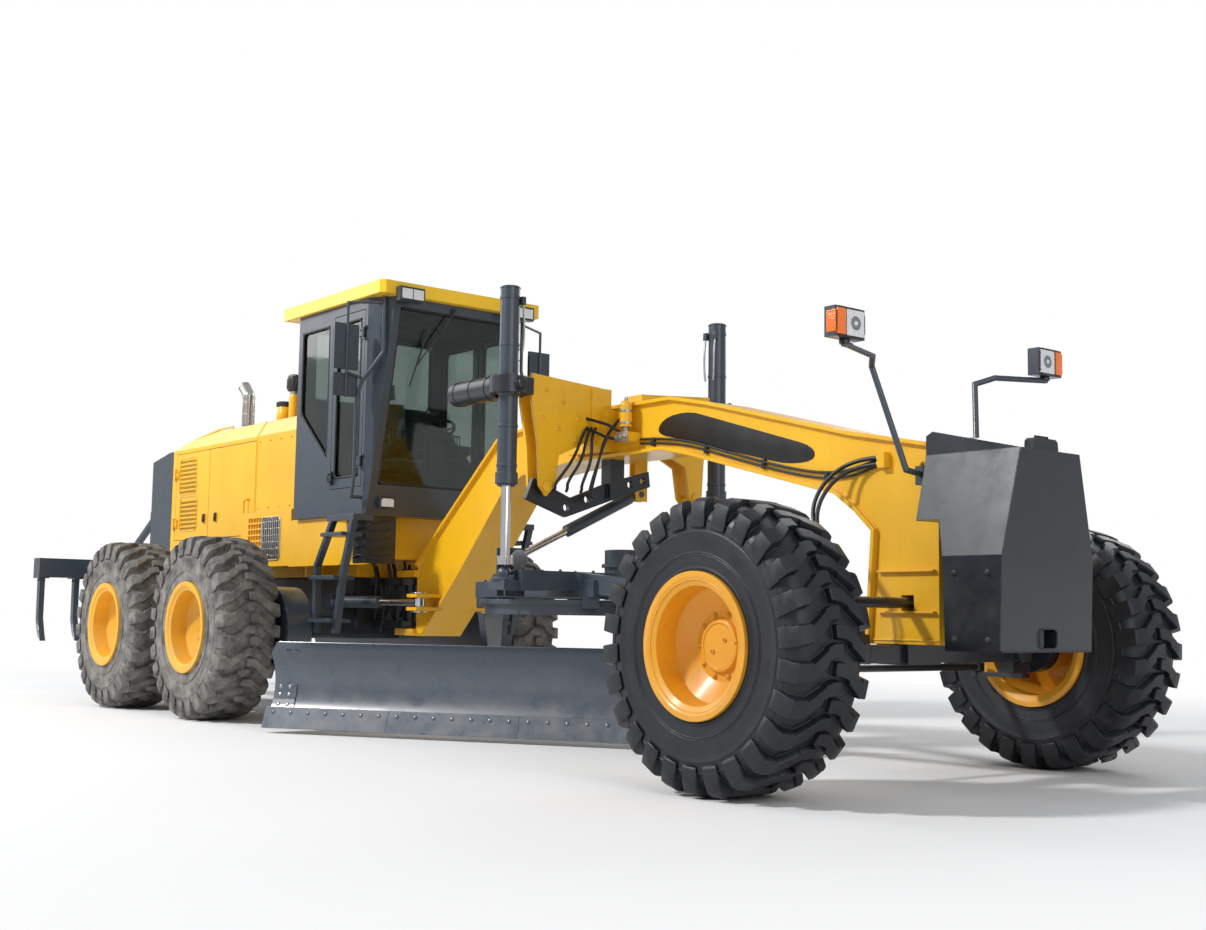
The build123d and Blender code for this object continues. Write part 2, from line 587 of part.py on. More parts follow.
for end in (-1, 1):
    spot = bladeShift + end * (railSpot - 30)
    bracket = across([(face + 100, 210), (railY1, 200), (railY1, 590), (face + 130, 560)], spot - 30,
                     spot + 30)
    bellyPlane = Plane(origin=(spot - 40, 0, 0), x_dir=(0, 1, 0), z_dir=(1, 0, 0))
    board += bracket - extrude(bellyPlane * make_face(bellyArc + bellyRest), 80)
board += rod((slideTailX, slideY, bladeSpindleZ), (bladeShift + railSpot - 30, slideY, bladeSpindleZ),
             slideRodRadius)
save("moldboard", toBlade * board)

# Articulation cylinders between the frames
pinX, pinY = -610.0, 500.0
start, end = (pinX, pinY, articulationZ), (eyeX, eyeY, articulationZ)
u = (Vector(*end) - Vector(*start)).normalized()
barrel = rod(along(start, u, 88), along(start, u, 600), 52) + rod(start, along(start, u, 98), 28)
barrel += Pos(*start) * Cylinder(50, 60) + Pos(*start) * Cylinder(25, 150)
barrel -= rod(along(start, u, 106), along(start, u, 620), 30 + runningFit)
savePair("articulation_barrel", barrel)
piston = rod(along(start, u, 330), end, 30) + Pos(*end) * Cylinder(50, 60) + Pos(*end) * Cylinder(25, 166)
for z in (-79, 79):
    piston += Pos(end[0], end[1], end[2] + z) * Cylinder(68, 8)
savePair("articulation_rod", piston)

# Rear chassis: rails, hinge ears with the pin, cross members, rear plate with ripper lugs
frontPlateX, frontPlateThick, frontPlateHalf = -440.0, 60.0, 380.0
railEndX = frontPlateX - frontPlateThick
chassis = box(railEndX, frontPlateX, -frontPlateHalf, frontPlateHalf, neckFootZ + earThick + earGap,
              railTop - 5)
for side in (-1, 1):
    chassis += box(guardRearX, railEndX, *sorted((side * railInner, side * railOuter)), railFoot, railTop)
    for z0 in (articulationZ - lugGap - 30, articulationZ + lugGap):
        lugPlate = box(pinX - 60, pinX + 60, *sorted((side * (railOuter - 10), side * (pinY + 70))), z0,
                       z0 + 30)
        chassis += lugPlate - Pos(pinX, side * pinY, z0 + 15) * Cylinder(25 + runningFit, 50)
for z0 in (neckFootZ + earThick + earGap, hingeHeadZ - 2 * earThick - earGap):
    ear = plan([(frontPlateX - 10, -260), (frontPlateX - 10, 260), (hingeX, earRadius), (hingeX, -earRadius)],
               z0, z0 + earThick)
    chassis += ear + rod((hingeX, 0, z0), (hingeX, 0, z0 + earThick), earRadius)
chassis += rod((hingeX, 0, neckFootZ - 10), (hingeX, 0, hingeHeadZ + 10), hingePinRadius)
for x0 in (-1400, -3300, -4300):
    chassis += box(x0, x0 + 120, -railInner - 10, railInner + 10, 950, 1150)
rearPlateX = guardRearX - 40
chassis += box(rearPlateX, guardRearX, -520, 520, railFoot, 1560)
ripperLugRadius, barrelPinRadius = 25.0, 20.0
for side in (-1, 1):
    for y0 in (side * ripperArmY - 55, side * ripperArmY + 30):
        lower = box(ripperPivotX - 60, guardRearX - 30, y0, y0 + 25, ripperPivotZ - 60, ripperPivotZ + 60)
        hole = rod((ripperPivotX, y0 - 10, ripperPivotZ), (ripperPivotX, y0 + 35, ripperPivotZ),
                   ripperLugRadius + runningFit)
        tall = profile([(guardRearX - 30, 1500), (guardRearX - 150, 1900), (guardRearX - 150, 2020),
                        (guardRearX - 60, 2020), (guardRearX, 1500)], y0, y0 + 25)
        high = rod((ripperPinX, y0 - 10, ripperPinZ), (ripperPinX, y0 + 35, ripperPinZ),
                   barrelPinRadius + runningFit)
        chassis += lower - hole
        chassis += tall - high
save("rear_chassis", chassis)

# Tandem drive: cross tube, mounting saddle and two round-ended chain cases with wheel hubs
tandemX = (midAxleX + rearAxleX) / 2
crossTubeRadius, hubRadius = 110.0, 170.0
tandem = rod((tandemX, -caseInner - 10, tyreRadius), (tandemX, caseInner + 10, tyreRadius), crossTubeRadius)
tandem += box(tandemX - 200, tandemX + 200, -railOuter, railOuter, tyreRadius + 10, railFoot)
for side in (-1, 1):
    outerFace = max(side * caseInner, side * caseOuter)
    casePlane = Plane(origin=(tandemX, outerFace, tyreRadius), x_dir=(1, 0, 0), z_dir=(0, -1, 0))
    caseLength = midAxleX - rearAxleX + 2 * caseOverhang
    tandem += extrude(casePlane * SlotCenterToCenter(caseLength, 2 * caseRadius), caseOuter - caseInner)
    for x in (midAxleX, rearAxleX):
        tandem += rod((x, side * (caseOuter - 10), tyreRadius), (x, side * (caseOuter + 130), tyreRadius),
                      hubRadius)
        tandem += rod((x, side * (caseOuter - 10), tyreRadius), (x, side * spindleEnd, tyreRadius),
                      spindleRadius)
save("tandem_drive", tandem)

# Engine as one block at its real place and size
save("engine", box(-3700, -1900, -330, 330, railTop, 2250))


# Engine hood: hollow house with leaning shoulders, a falling rear and a door opening on each side
def house(inset):
    top = hoodTopZ - inset
    side = profile([(hoodFrontX, hoodFootZ), (hoodFrontX, top), (-3300, top), (-3900, top - 60),
                    (hoodRearX, top - 150), (hoodRearX, hoodFootZ)], -hoodHalf + inset, hoodHalf - inset)
    flank = hoodHalf - inset
    return side & across([(-flank, hoodFootZ - 50), (-flank, top - 150), (-flank + hoodShoulder, top),
                          (flank - hoodShoulder, top), (flank, top - 150), (flank, hoodFootZ - 50)],
                         hoodRearX - 100, hoodFrontX + 100)


hingeHeights = (1850, 2380)
frameLugs, doorBarrels = doorHinges(panelRearX + 3, hoodHalf + 18, -1, hingeHeights)
hood = house(0) - (house(hoodSkin) & box(hoodRearX + hoodSkin, hoodFrontX - hoodSkin, -600, 600, 1000, 3000))
hood -= box(panelRearX, panelFrontX, -600, 600, panelFootZ, panelHeadZ)
hood += frameLugs + flip(frameLugs)
save("engine_hood", hood)
panel = box(panelRearX + doorGap, panelFrontX - doorGap, hoodHalf - hoodSkin, hoodHalf, panelFootZ + doorGap,
            panelHeadZ - doorGap)
# Grille windows: rear edge, front edge, foot, head
grilles = [(-4000, -3600, 2170, 2540), (-3960, -3560, 1780, 2130)]
barPitch, slotHigh = 46.0, 26.0
for x0, x1, z0, z1 in grilles:
    for k in range(int((z1 - z0) / barPitch)):
        panel -= box(x0, x1, hoodHalf - 60, hoodHalf + 10, z0 + k * barPitch, z0 + k * barPitch + slotHigh)
panel -= box(-3268, -3260, hoodHalf - 6, hoodHalf + 10, panelFootZ, panelHeadZ)
for x in (-3348, -3068):
    panel += box(x - 22, x + 22, hoodHalf - 2, hoodHalf + 10, 1840, 1930)
grabX, grabOut = -2335.0, hoodHalf + 50
panel += tubeRun([(grabX, hoodHalf - 5, 1809), (grabX, grabOut, 1835), (grabX, grabOut, 2010),
                  (grabX, hoodHalf - 5, 2037)], 11)
savePair("engine_door", panel + doorBarrels)

# Radiator guard with its rear grille
guard = profile([(hoodRearX, 1560), (hoodRearX, 2640), (-4300, 2640), (guardRearX, 2560), (guardRearX, 1560)],
                -hoodHalf, hoodHalf)
for k in range(13):
    guard -= box(guardRearX - 10, guardRearX + 60, -440, 440, 1660 + k * 60, 1690 + k * 60)
save("radiator_guard", guard)

# Exhaust stack with its bent outlet, filler cap and air pre-cleaner on the hood
stack = rod((-2960, -300, hoodTopZ), (-2960, -300, 3150), 60)
stack += rod((-2960, -300, 3150), (-3080, -300, 3260), 60)
stack += Pos(-2960, -300, 3150) * Sphere(60.5)
cleaner = rod((-1950, -300, hoodTopZ), (-1950, -300, 3100), 45)
cleaner += rod((-1950, -300, 3100), (-1950, -300, 3240), 70)
filler = rod((-2150, -300, hoodTopZ), (-2150, -300, 2990), 74)
save("hood_stacks", stack, cleaner, filler)

# Platform under the cab, and the side boxes with the rear one's vent
platform = box(-1000, 100, -cabHalf + 80, cabHalf - 80, 1400, cabFloorZ)
platform += box(-1000, -440, -railOuter, railOuter, railTop, 1400)
save("cab_platform", platform)
boxInner, boxOuter = 560.0, 715.0
sideBox = box(-2150, -1115, boxInner, boxOuter, 1350, 1870)
# Vent grid: openings along and up, opening size, pitch
ventColumns, ventRows, ventHole, ventPitch = 7, 6, 42.0, 56.0
for column in range(ventColumns):
    for row in range(ventRows):
        x0, z0 = -1990 + column * ventPitch, 1490 + row * ventPitch
        sideBox -= box(x0, x0 + ventHole, boxOuter - 30, boxOuter + 10, z0, z0 + ventHole)
frontBox = box(-1105, 275, cabHalf - 80, boxOuter + 20, 1340, cabFloorZ)
frontBox += box(100, 275, 440, cabHalf - 80, 1400, cabFloorZ)
save("side_boxes", sideBox, flip(sideBox), frontBox, flip(frontBox))


# Cab shell: hollow, leaning forward, with corner facets and openings for doors and windows
def cabBody(inset, z0, z1):
    def ring(z, frontX, frontHalf):
        c = inset * 0.42
        side = [(cabRearX + inset, cabHalf - inset), (cabSideFrontX - c, cabHalf - inset)]
        front = [(frontX - inset, frontHalf - c), (frontX - inset, c - frontHalf)]
        far = [(cabSideFrontX - c, inset - cabHalf), (cabRearX + inset, inset - cabHalf)]
        return Pos(0, 0, z) * make_face(Polyline(*side, *front, *far, close=True))

    rise = (cabHeadFrontX - cabFootFrontX) / (cabTopZ - cabFloorZ)
    narrow = (cabHeadHalf - cabFootHalf) / (cabTopZ - cabFloorZ)
    rings = [ring(z, cabFootFrontX + rise * (z - cabFloorZ), cabFootHalf + narrow * (z - cabFloorZ))
             for z in (z0, z1)]
    return loft(rings, ruled=True)


def frontAt(z):
    return cabFootFrontX + (cabHeadFrontX - cabFootFrontX) * (z - cabFloorZ) / (cabTopZ - cabFloorZ)


cab = cabBody(0, cabFloorZ, cabTopZ) - cabBody(cabWall, cabFloorZ + 60, cabTopZ + 10)
cab -= box(doorRearX, doorFrontX, -900, 900, doorFootZ, doorHeadZ)
screen = [(-670, 2010), (670, 2010), (580, 3520), (-580, 3520)]
cab -= across(screen, 150, 600)
rearWindow = (-620, 620, 2860, 3500)
cab -= box(-1000, -880, *rearWindow)
sideWindow = [(-880, 2700), (-880, 3450), (-370, 3450), (-370, 2270)]
cab -= profile(sideWindow, -900, 900)
cabLugs, cabBarrels = doorHinges(doorFrontX - 3, cabHalf + 18, 1, (2200, 3300))
save("cab_shell", cab + cabLugs + flip(cabLugs))
roof = plan([(-1180, -roofHalf), (roofFrontX - 40, -roofHalf), (roofFrontX, 40 - roofHalf),
             (roofFrontX, roofHalf - 40),
             (roofFrontX - 40, roofHalf), (-1180, roofHalf)], cabTopZ, cabTopZ + roofThick)
save("cab_roof", roof)
glassIn = 30.0
pane = profile([(frontAt(2010) - glassIn - glassThick, 2010), (frontAt(2010) - glassIn, 2010),
                (frontAt(3520) - glassIn, 3520), (frontAt(3520) - glassIn - glassThick, 3520)], -700, 700)
pane &= across(screen, 150, 600)
sidePane = profile(sideWindow, cabHalf - 25, cabHalf - 25 + glassThick)
rearPane = box(cabRearX + 20, cabRearX + 20 + glassThick, *rearWindow)
save("cab_glass", pane, rearPane, sidePane, flip(sidePane))
doorSkin = 40.0
door = box(doorRearX + doorGap, doorFrontX - doorGap, cabHalf - doorSkin, cabHalf, doorFootZ + doorGap,
           doorHeadZ - doorGap)
doorLight = (doorRearX + doorFrame, doorFrontX - doorFrame, doorFootZ + 90, doorHeadZ - 70)
door -= box(doorLight[0], doorLight[1], 700, 800, doorLight[2], doorLight[3])
door += box(doorRearX + 22, doorRearX + 52, cabHalf - 2, cabHalf + 28, 2030, 2150)
savePair("cab_door", door + cabBarrels)
savePair("door_glass", box(doorLight[0], doorLight[1], cabHalf - 24, cabHalf - 24 + glassThick, doorLight[2],
                           doorLight[3]))

# Seat, console and steering wheel
floorZ = cabFloorZ + 60
station = box(-620, -220, -180, 180, floorZ, 2180) + box(-650, -150, -260, 260, 2180, 2290)
station += profile([(-650, 2290), (-540, 2290), (-640, 2980), (-740, 2980)], -240, 240)
column = profile([(60, floorZ), (240, floorZ), (160, 2480), (90, 2480)], -110, 110)
wheelTilt = Pos(120, 0, 2540) * Rot(0, -25, 0)
column += wheelTilt * Torus(190, 16) + rod((125, 0, 2470), (105, 0, 2545), 22) + wheelTilt * Box(370, 30, 14)
save("operator_station", station, column)

# Access ladders: bent flat stringers with three treads and landing plates
stringers = [[(40, 1750), (-250, 1320), (-230, 760)], [(370, 1750), (200, 1230), (110, 760)]]
stringerHalf, ladderInner, ladderOuter = 25.0, 870.0, 925.0
ladder = None
for route in stringers:
    for (xa, za), (xb, zb) in zip(route, route[1:]):
        leg = profile([(xa - stringerHalf, za), (xa + stringerHalf, za), (xb + stringerHalf, zb),
                       (xb - stringerHalf, zb)],
                      ladderInner, ladderOuter)
        ladder = leg if ladder is None else ladder + leg
# Treads: rear end, front end, height
for x0, x1, z in ((-60, 300, 1570), (-240, 190, 1210), (-235, 145, 850)):
    ladder += box(x0, x1, cabHalf, 980, z, z + 30)
ladder += box(-60, 395, boxOuter + 20, ladderOuter, 1700, 1750)
save("access_ladders", ladder, flip(ladder))

# Mirrors on bent arms, corner handrails, roof lamps and the lamps under the windscreen
railRoute = [(435, 715, cabTopZ), (435, 715, 3120), (345, 860, 2860), (325, 895, 2700), (325, 895, 2060),
             (262, 880, 1900),
             (262, cabHalf, 1900)]
fittings = tubeRun(railRoute, 15)
mirrorX, mirrorY, mirrorHalf = 330.0, 1000.0, 115.0
fittings += tubeRun([(435, 715, cabTopZ - 55), (mirrorX, mirrorY, cabTopZ - 80), (mirrorX, mirrorY, 2720)],
                    12)
fittings += rod((mirrorX, mirrorY, 2935), (352, 845, 2885), 10)
for z0, z1 in ((2955, 3340), (2730, 2920)):
    fittings += box(mirrorX - 30, mirrorX - 6, mirrorY - mirrorHalf, mirrorY + mirrorHalf, z0, z1)
roofLamp = box(roofFrontX, roofFrontX + 72, 450, 690, cabTopZ - 60, cabTopZ + 60)
footLamp = profile([(frontAt(1815), 1815), (frontAt(1905), 1905), (frontAt(1905) + 45, 1905),
                    (frontAt(1815) + 45, 1815)],
                   520, 660)
save("mirrors_and_lamps", *[piece for part in (fittings, roofLamp, footLamp) for piece in (part, flip(part))])

# Ripper: tube beam with seven curved shanks on two arms, raised for travel
beamHalf = 110.0
ripper = box(ripperBeamX - 100, ripperBeamX + 100, -ripperBeamHalf, ripperBeamHalf, ripperBeamZ - beamHalf,
             ripperBeamZ + beamHalf)
for side in (-1, 1):
    y = side * ripperArmY
    arm = profile([(ripperPivotX, ripperPivotZ - 55), (ripperPivotX, ripperPivotZ + 55), (-5500, 1330),
                   (ripperBeamX + 90, 1500), (ripperBeamX + 90, 1300), (-5500, 1130)], y - 25, y + 25)
    arm += rod((ripperPivotX, y - 25, ripperPivotZ), (ripperPivotX, y + 25, ripperPivotZ), 55)
    arm += rod((ripperPivotX, y - 60, ripperPivotZ), (ripperPivotX, y + 60, ripperPivotZ), ripperLugRadius)
    for y0 in (y - 50, y + 35):
        ear = box(ripperEyeX - 70, ripperEyeX + 70, y0, y0 + 15, 1340, ripperEyeZ + 75)
        arm += ear - rod((ripperEyeX, y0 - 5, ripperEyeZ), (ripperEyeX, y0 + 20, ripperEyeZ), 55)
    arm += box(ripperEyeX - 70, ripperEyeX + 70, y - 50, y + 50, 1330, 1360)
    ripper += arm
shank = [(45, 1300), (45, 820), (150, 560), (60, 620), (-35, 800), (-45, 1300)]
for k in range(-3, 4):
    ripper += profile([(ripperBeamX + x, z) for x, z in shank], k * shankPitch - 30, k * shankPitch + 30)
save("ripper", ripper)
barrels, rods = [], []
for side in (-1, 1):
    y = side * ripperArmY
    b, e = (ripperPinX, y, ripperPinZ), (ripperEyeX, y, ripperEyeZ)
    u = (Vector(*e) - Vector(*b)).normalized()
    barrel = rod(along(b, u, 85), along(b, u, 560), 42) + rod(b, along(b, u, 95), 21)
    barrel += rod((b[0], y - 24, b[2]), (b[0], y + 24, b[2]), 40)
    barrel += rod((b[0], y - 60, b[2]), (b[0], y + 60, b[2]), barrelPinRadius)
    barrels.append(barrel - rod(along(b, u, 110), along(b, u, 600), 22 + runningFit))
    piston = rod(along(b, u, 120), e, 22) + rod((e[0], y - 22, e[2]), (e[0], y + 22, e[2]), 38)
    piston += rod((e[0], y - 63, e[2]), (e[0], y + 63, e[2]), 18)
    for y0 in (y - 63, y + 55):
        piston += rod((e[0], y0, e[2]), (e[0], y0 + 8, e[2]), 66)
    rods.append(piston)
save("ripper_barrels", *barrels)
save("ripper_rods", *rods)

# Brake and steering hoses from the nose to the axle's manifold, in loops behind the right wheel


def hose(name, route):
    runs = [(Vector(*q) - Vector(*p)) for p, q in zip(route, route[1:])]
    radii = []
    for before, after in zip(runs, runs[1:]):
        turn = before.get_angle(after)
        radii.append(0.45 * min(before.length, after.length) / tan(radians(turn) / 2))
    path = FilletPolyline(*route, radius=radii)
    tube = sweep(Plane(origin=route[0], z_dir=runs[0]) * Circle(hoseDiameter / 2), path=path)
    share = tube.volume / (pi * hoseDiameter ** 2 / 4 * path.length)
    print(name, "length", round(path.length), "volume share", round(share, 4), "radii",
          [round(r) for r in radii])
    save(name, tube)


for name, route in hoseRoutes.items():
    hose(name, route)
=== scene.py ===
import bpy
import bmesh
import math
import random
from mathutils import Matrix, Vector


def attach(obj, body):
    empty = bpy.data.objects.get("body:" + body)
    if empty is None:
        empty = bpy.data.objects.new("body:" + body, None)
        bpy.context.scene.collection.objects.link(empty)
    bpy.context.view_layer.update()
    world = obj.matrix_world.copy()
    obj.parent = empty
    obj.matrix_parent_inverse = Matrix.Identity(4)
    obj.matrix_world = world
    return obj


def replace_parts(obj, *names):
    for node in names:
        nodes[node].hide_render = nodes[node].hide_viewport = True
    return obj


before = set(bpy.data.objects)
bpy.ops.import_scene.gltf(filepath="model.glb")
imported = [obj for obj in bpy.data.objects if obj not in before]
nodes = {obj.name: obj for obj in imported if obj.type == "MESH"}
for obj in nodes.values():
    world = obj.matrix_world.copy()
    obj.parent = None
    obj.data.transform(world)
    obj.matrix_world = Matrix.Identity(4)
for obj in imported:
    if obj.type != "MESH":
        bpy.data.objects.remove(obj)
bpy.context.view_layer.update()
hands = ((1, "left"), (-1, "right"))
toFront, toRear, toTop = (1, 0, 0), (-1, 0, 0), (0, 0, 1)
print("frame loaded:", len(nodes), "nodes")


def addObject(name, data):
    obj = bpy.data.objects.new(name, data)
    bpy.context.scene.collection.objects.link(obj)
    return obj


# camera, at the photograph's place
view = {"place": (11.239, -7.036, 0.938), "yaw": 0.892, "pitch": 0.101, "roll": 0.015, "lens": 44.5}
forward = Vector((-math.sin(view["yaw"]) * math.cos(view["pitch"]),
                  math.cos(view["yaw"]) * math.cos(view["pitch"]), math.sin(view["pitch"])))
level = forward.cross(Vector(toTop)).normalized()
upright = level.cross(forward)
rollCos, rollSin = math.cos(view["roll"]), math.sin(view["roll"])
right = level * rollCos + upright * rollSin
upward = upright * rollCos - level * rollSin
camData = bpy.data.cameras.new("photoCamera")
camData.lens = view["lens"]
camData.sensor_width = 36.0
camData.clip_end = 200.0
camObject = addObject("photoCamera", camData)
camObject.matrix_world = Matrix((
    (right.x, upward.x, -forward.x, view["place"][0]),
    (right.y, upward.y, -forward.y, view["place"][1]),
    (right.z, upward.z, -forward.z, view["place"][2]),
    (0, 0, 0, 1)))
bpy.context.scene.camera = camObject
bpy.context.scene.view_settings.view_transform = "Standard"


# node helpers
def addNode(tree, kind, sockets=None, **settings):
    # A shader node with its settings; each socket takes a value or a link
    node = tree.nodes.new("ShaderNode" + kind)
    for name, value in settings.items():
        setattr(node, name, value)
    for key, value in (sockets or {}).items():
        if isinstance(value, bpy.types.NodeSocket):
            tree.links.new(value, node.inputs[key])
        else:
            node.inputs[key].default_value = value
    return node


def freshMaterial(name):
    mat = bpy.data.materials.new(name)
    mat.use_nodes = True
    tree = mat.node_tree
    shader = next(n for n in tree.nodes if n.type == "BSDF_PRINCIPLED")
    return mat, tree, shader, addNode(tree, "TexCoord").outputs["Object"]


def noise(tree, coords, scale, detail=4.0, rough=0.6, stretch=None):
    if stretch:
        coords = addNode(tree, "Mapping", {"Scale": stretch, "Vector": coords}).outputs["Vector"]
    sockets = {"Scale": scale, "Detail": detail, "Roughness": rough, "Vector": coords}
    return addNode(tree, "TexNoise", sockets).outputs["Fac"]


def span(tree, source, fromLow, fromHigh, toLow=0.0, toHigh=1.0):
    sockets = {"Value": source, "From Min": fromLow, "From Max": fromHigh, "To Min": toLow, "To Max": toHigh}
    return addNode(tree, "MapRange", sockets).outputs["Result"]


def combine(tree, how, a, b):
    return addNode(tree, "Math", {0: a, 1: b}, operation=how).outputs["Value"]


def times(tree, a, b):
    return combine(tree, "MULTIPLY", a, b)


def mixColor(tree, factor, a, b):
    a, b = ((*c, 1.0) if isinstance(c, tuple) else c for c in (a, b))
    return addNode(tree, "Mix", {0: factor, 6: a, 7: b}, data_type="RGBA").outputs[2]


def bumpChain(tree, steps, normal=None):
    # steps: height source, strength, distance in metres
    for height, strength, distance in steps:
        sockets = {"Strength": strength, "Distance": distance, "Height": height}
        if normal is not None:
            sockets["Normal"] = normal
        normal = addNode(tree, "Bump", sockets).outputs["Normal"]
    return normal


def edgeMask(tree, reach):
    # Rounded normal for sharp edges, and a mask that is bright along them
    rounded = addNode(tree, "Bevel", {"Radius": reach}, samples=4).outputs["Normal"]
    flat = addNode(tree, "NewGeometry").outputs["Normal"]
    dot = addNode(tree, "VectorMath", {0: rounded, 1: flat}, operation="DOT_PRODUCT")
    return rounded, span(tree, dot.outputs["Value"], 0.985, 0.80)


def shaded(color, by, plus=0.0):
    return tuple(min(1.0, c * by + plus) for c in color)


def setShader(tree, shader, color, roughness, bumps, normal=None, values=()):
    for name, source in (("Base Color", color), ("Roughness", roughness),
                         ("Normal", bumpChain(tree, bumps, normal))):
        tree.links.new(source, shader.inputs[name])
    for name, value in values:
        shader.inputs[name].default_value = value


# finishes
paint = {"dust": (0.36, 0.31, 0.25), "shade": 0.86, "streak": 0.55, "edge": 0.007, "coatRough": 0.18}


def paintFinish(name, color, rough=0.34, dust=0.35, dustTop=1.3, wear=0.5, bare=(0.10, 0.10, 0.105),
                coat=0.25):
    mat, tree, shader, coords = freshMaterial(name)
    rounded, edges = edgeMask(tree, paint["edge"])
    broad = noise(tree, coords, 1.1, 5.0)
    fine = noise(tree, coords, 34.0, 8.0, 0.72)
    streak = noise(tree, coords, 1.0, 6.0, 0.7, (9.0, 9.0, 0.55))
    grime = noise(tree, coords, 5.5, 8.0, 0.7)
    base = mixColor(tree, span(tree, broad, 0.35, 0.68), color, shaded(color, paint["shade"]))
    base = mixColor(tree, span(tree, streak, 0.56, 0.80, 0.0, 0.35), base, shaded(color, paint["streak"]))
    height = addNode(tree, "SeparateXYZ", {"Vector": coords}).outputs["Z"]
    settled = times(tree, times(tree, span(tree, height, dustTop, 0.1), span(tree, grime, 0.38, 0.72)), dust)
    dusty = combine(tree, "MAXIMUM", settled, times(tree, span(tree, fine, 0.60, 0.74), dust * 0.45))
    base = mixColor(tree, dusty, base, paint["dust"])
    chips = times(tree, times(tree, edges, span(tree, fine, 0.47, 0.60)), wear)
    roughness = combine(tree, "ADD", span(tree, grime, 0.3, 0.75, rough * 0.8, rough * 1.35),
                        times(tree, dusty, 0.4))
    bumps = [(broad, 0.10, 0.01), (noise(tree, coords, 160.0, 3.0), 0.06, 0.001), (chips, 0.25, 0.0006)]
    setShader(tree, shader, mixColor(tree, chips, base, bare), roughness, bumps, rounded,
              [("Coat Weight", coat), ("Coat Roughness", paint["coatRough"])])
    return mat


def steelFinish(name, color, rough=0.28, grain=(1.0, 1.0, 30.0), stain=(0.16, 0.10, 0.06), stains=0.3):
    mat, tree, shader, coords = freshMaterial(name)
    rounded, edges = edgeMask(tree, 0.004)
    lines = noise(tree, coords, 22.0, 4.0, 0.6, grain)
    blot = noise(tree, coords, 7.0, 6.0, 0.7)
    base = mixColor(tree, span(tree, lines, 0.3, 0.7), color, shaded(color, 0.8))
    base = mixColor(tree, span(tree, blot, 0.55, 0.75, 0.0, stains), base, stain)
    base = mixColor(tree, times(tree, edges, 0.4), base, shaded(color, 1.35))
    setShader(tree, shader, base, span(tree, blot, 0.3, 0.75, rough * 0.75, rough * 1.6),
              [(lines, 0.08, 0.0006)],
              rounded, [("Metallic", 1.0)])
    return mat


def rubberFinish(name, color, dustAndShadeColor, dust, rough, hub):
    # A tyre has its origin at the wheel's middle, so its dust follows the distance from there
    mat, tree, shader, coords = freshMaterial(name)
    blot = noise(tree, coords, 3.2, 7.0, 0.7)
    fine = noise(tree, coords, 48.0, 8.0, 0.75)
    smear = noise(tree, coords, 9.0, 6.0, 0.65)
    base = mixColor(tree, span(tree, blot, 0.35, 0.7), color, shaded(color, 1.5))
    amount = combine(tree, "ADD", times(tree, span(tree, smear, 0.34, 0.66), dust),
                     times(tree, span(tree, fine, 0.5, 0.72), dust * 0.35))
    parts = addNode(tree, "SeparateXYZ", {"Vector": coords}).outputs
    squares = combine(tree, "ADD", times(tree, parts["X"], parts["X"]), times(tree, parts["Z"], parts["Z"]))
    radius = combine(tree, "POWER", squares, 0.5)
    # dust colour: real dust on the rear tyres; on the front tyres a dark blue-grey, dust painted in shade
    base = mixColor(tree, times(tree, amount, span(tree, radius, hub[0], hub[1], 1.0, hub[2])), base,
                    dustAndShadeColor)
    rounded, edges = edgeMask(tree, 0.006)
    # painted highlight: lighter colour along the tyre's sharp lug edges
    paintedLugHighlight = times(tree, edges, span(tree, fine, 0.42, 0.6, 0.0, 0.55))
    setShader(tree, shader, mixColor(tree, paintedLugHighlight, base, shaded(color, 3.2, 0.05)),
              span(tree, blot, 0.3, 0.7, rough * 0.75, min(1.0, rough * 1.25)),
              [(smear, 0.25, 0.004), (fine, 0.35, 0.0015)], rounded, [("Specular IOR Level", 0.45)])
    return mat


def glassFinish(name, color, rough=0.03):
    mat, tree, shader, coords = freshMaterial(name)
    smear = noise(tree, coords, 3.0, 6.0, 0.7)
    fine = noise(tree, coords, 60.0, 6.0, 0.7)
    film = times(tree, span(tree, smear, 0.45, 0.75), span(tree, fine, 0.45, 0.7, 0.2, 1.0))
    setShader(tree, shader, mixColor(tree, times(tree, film, 0.35), color, shaded(color, 0.75)),
              span(tree, film, 0.0, 1.0, rough, rough + 0.16), [(smear, 0.02, 0.002)], None,
              [("Transmission Weight", 1.0), ("IOR", 1.45)])
    return mat


def moulded(name, color, rough=0.5, grain=90.0, bump=0.18, sheen=0.0):
    mat, tree, shader, coords = freshMaterial(name)
    blot = noise(tree, coords, 4.0, 6.0, 0.65)
    fine = noise(tree, coords, grain, 4.0, 0.6)
    rounded, edges = edgeMask(tree, 0.004)
    base = mixColor(tree, span(tree, blot, 0.35, 0.7), color, shaded(color, 0.78))
    base = mixColor(tree, times(tree, edges, span(tree, fine, 0.45, 0.6, 0.0, 0.35)), base,
                    shaded(color, 1.9, 0.03))
    setShader(tree, shader, base, span(tree, blot, 0.3, 0.7, rough * 0.8, min(1, rough * 1.25)),
              [(fine, bump, 0.001)],
              rounded, [("Sheen Weight", sheen)])
    return mat


def lensFinish(name, color, glow, rough=0.08, ribs=160.0):
    # Moulded lamp lens with small prisms
    mat, tree, shader, coords = freshMaterial(name)
    cells = addNode(tree, "TexVoronoi", {"Scale": ribs, "Vector": coords})
    shade = span(tree, cells.outputs["Distance"], 0.0, 0.7)
    setShader(tree, shader, mixColor(tree, shade, color, shaded(color, 0.6)),
              span(tree, shade, 0.0, 1.0, rough, rough + 0.15), [(shade, 0.5, 0.002)], None,
              [("Coat Weight", 0.8), ("Emission Color", (*color, 1.0)), ("Emission Strength", glow)])
    return mat


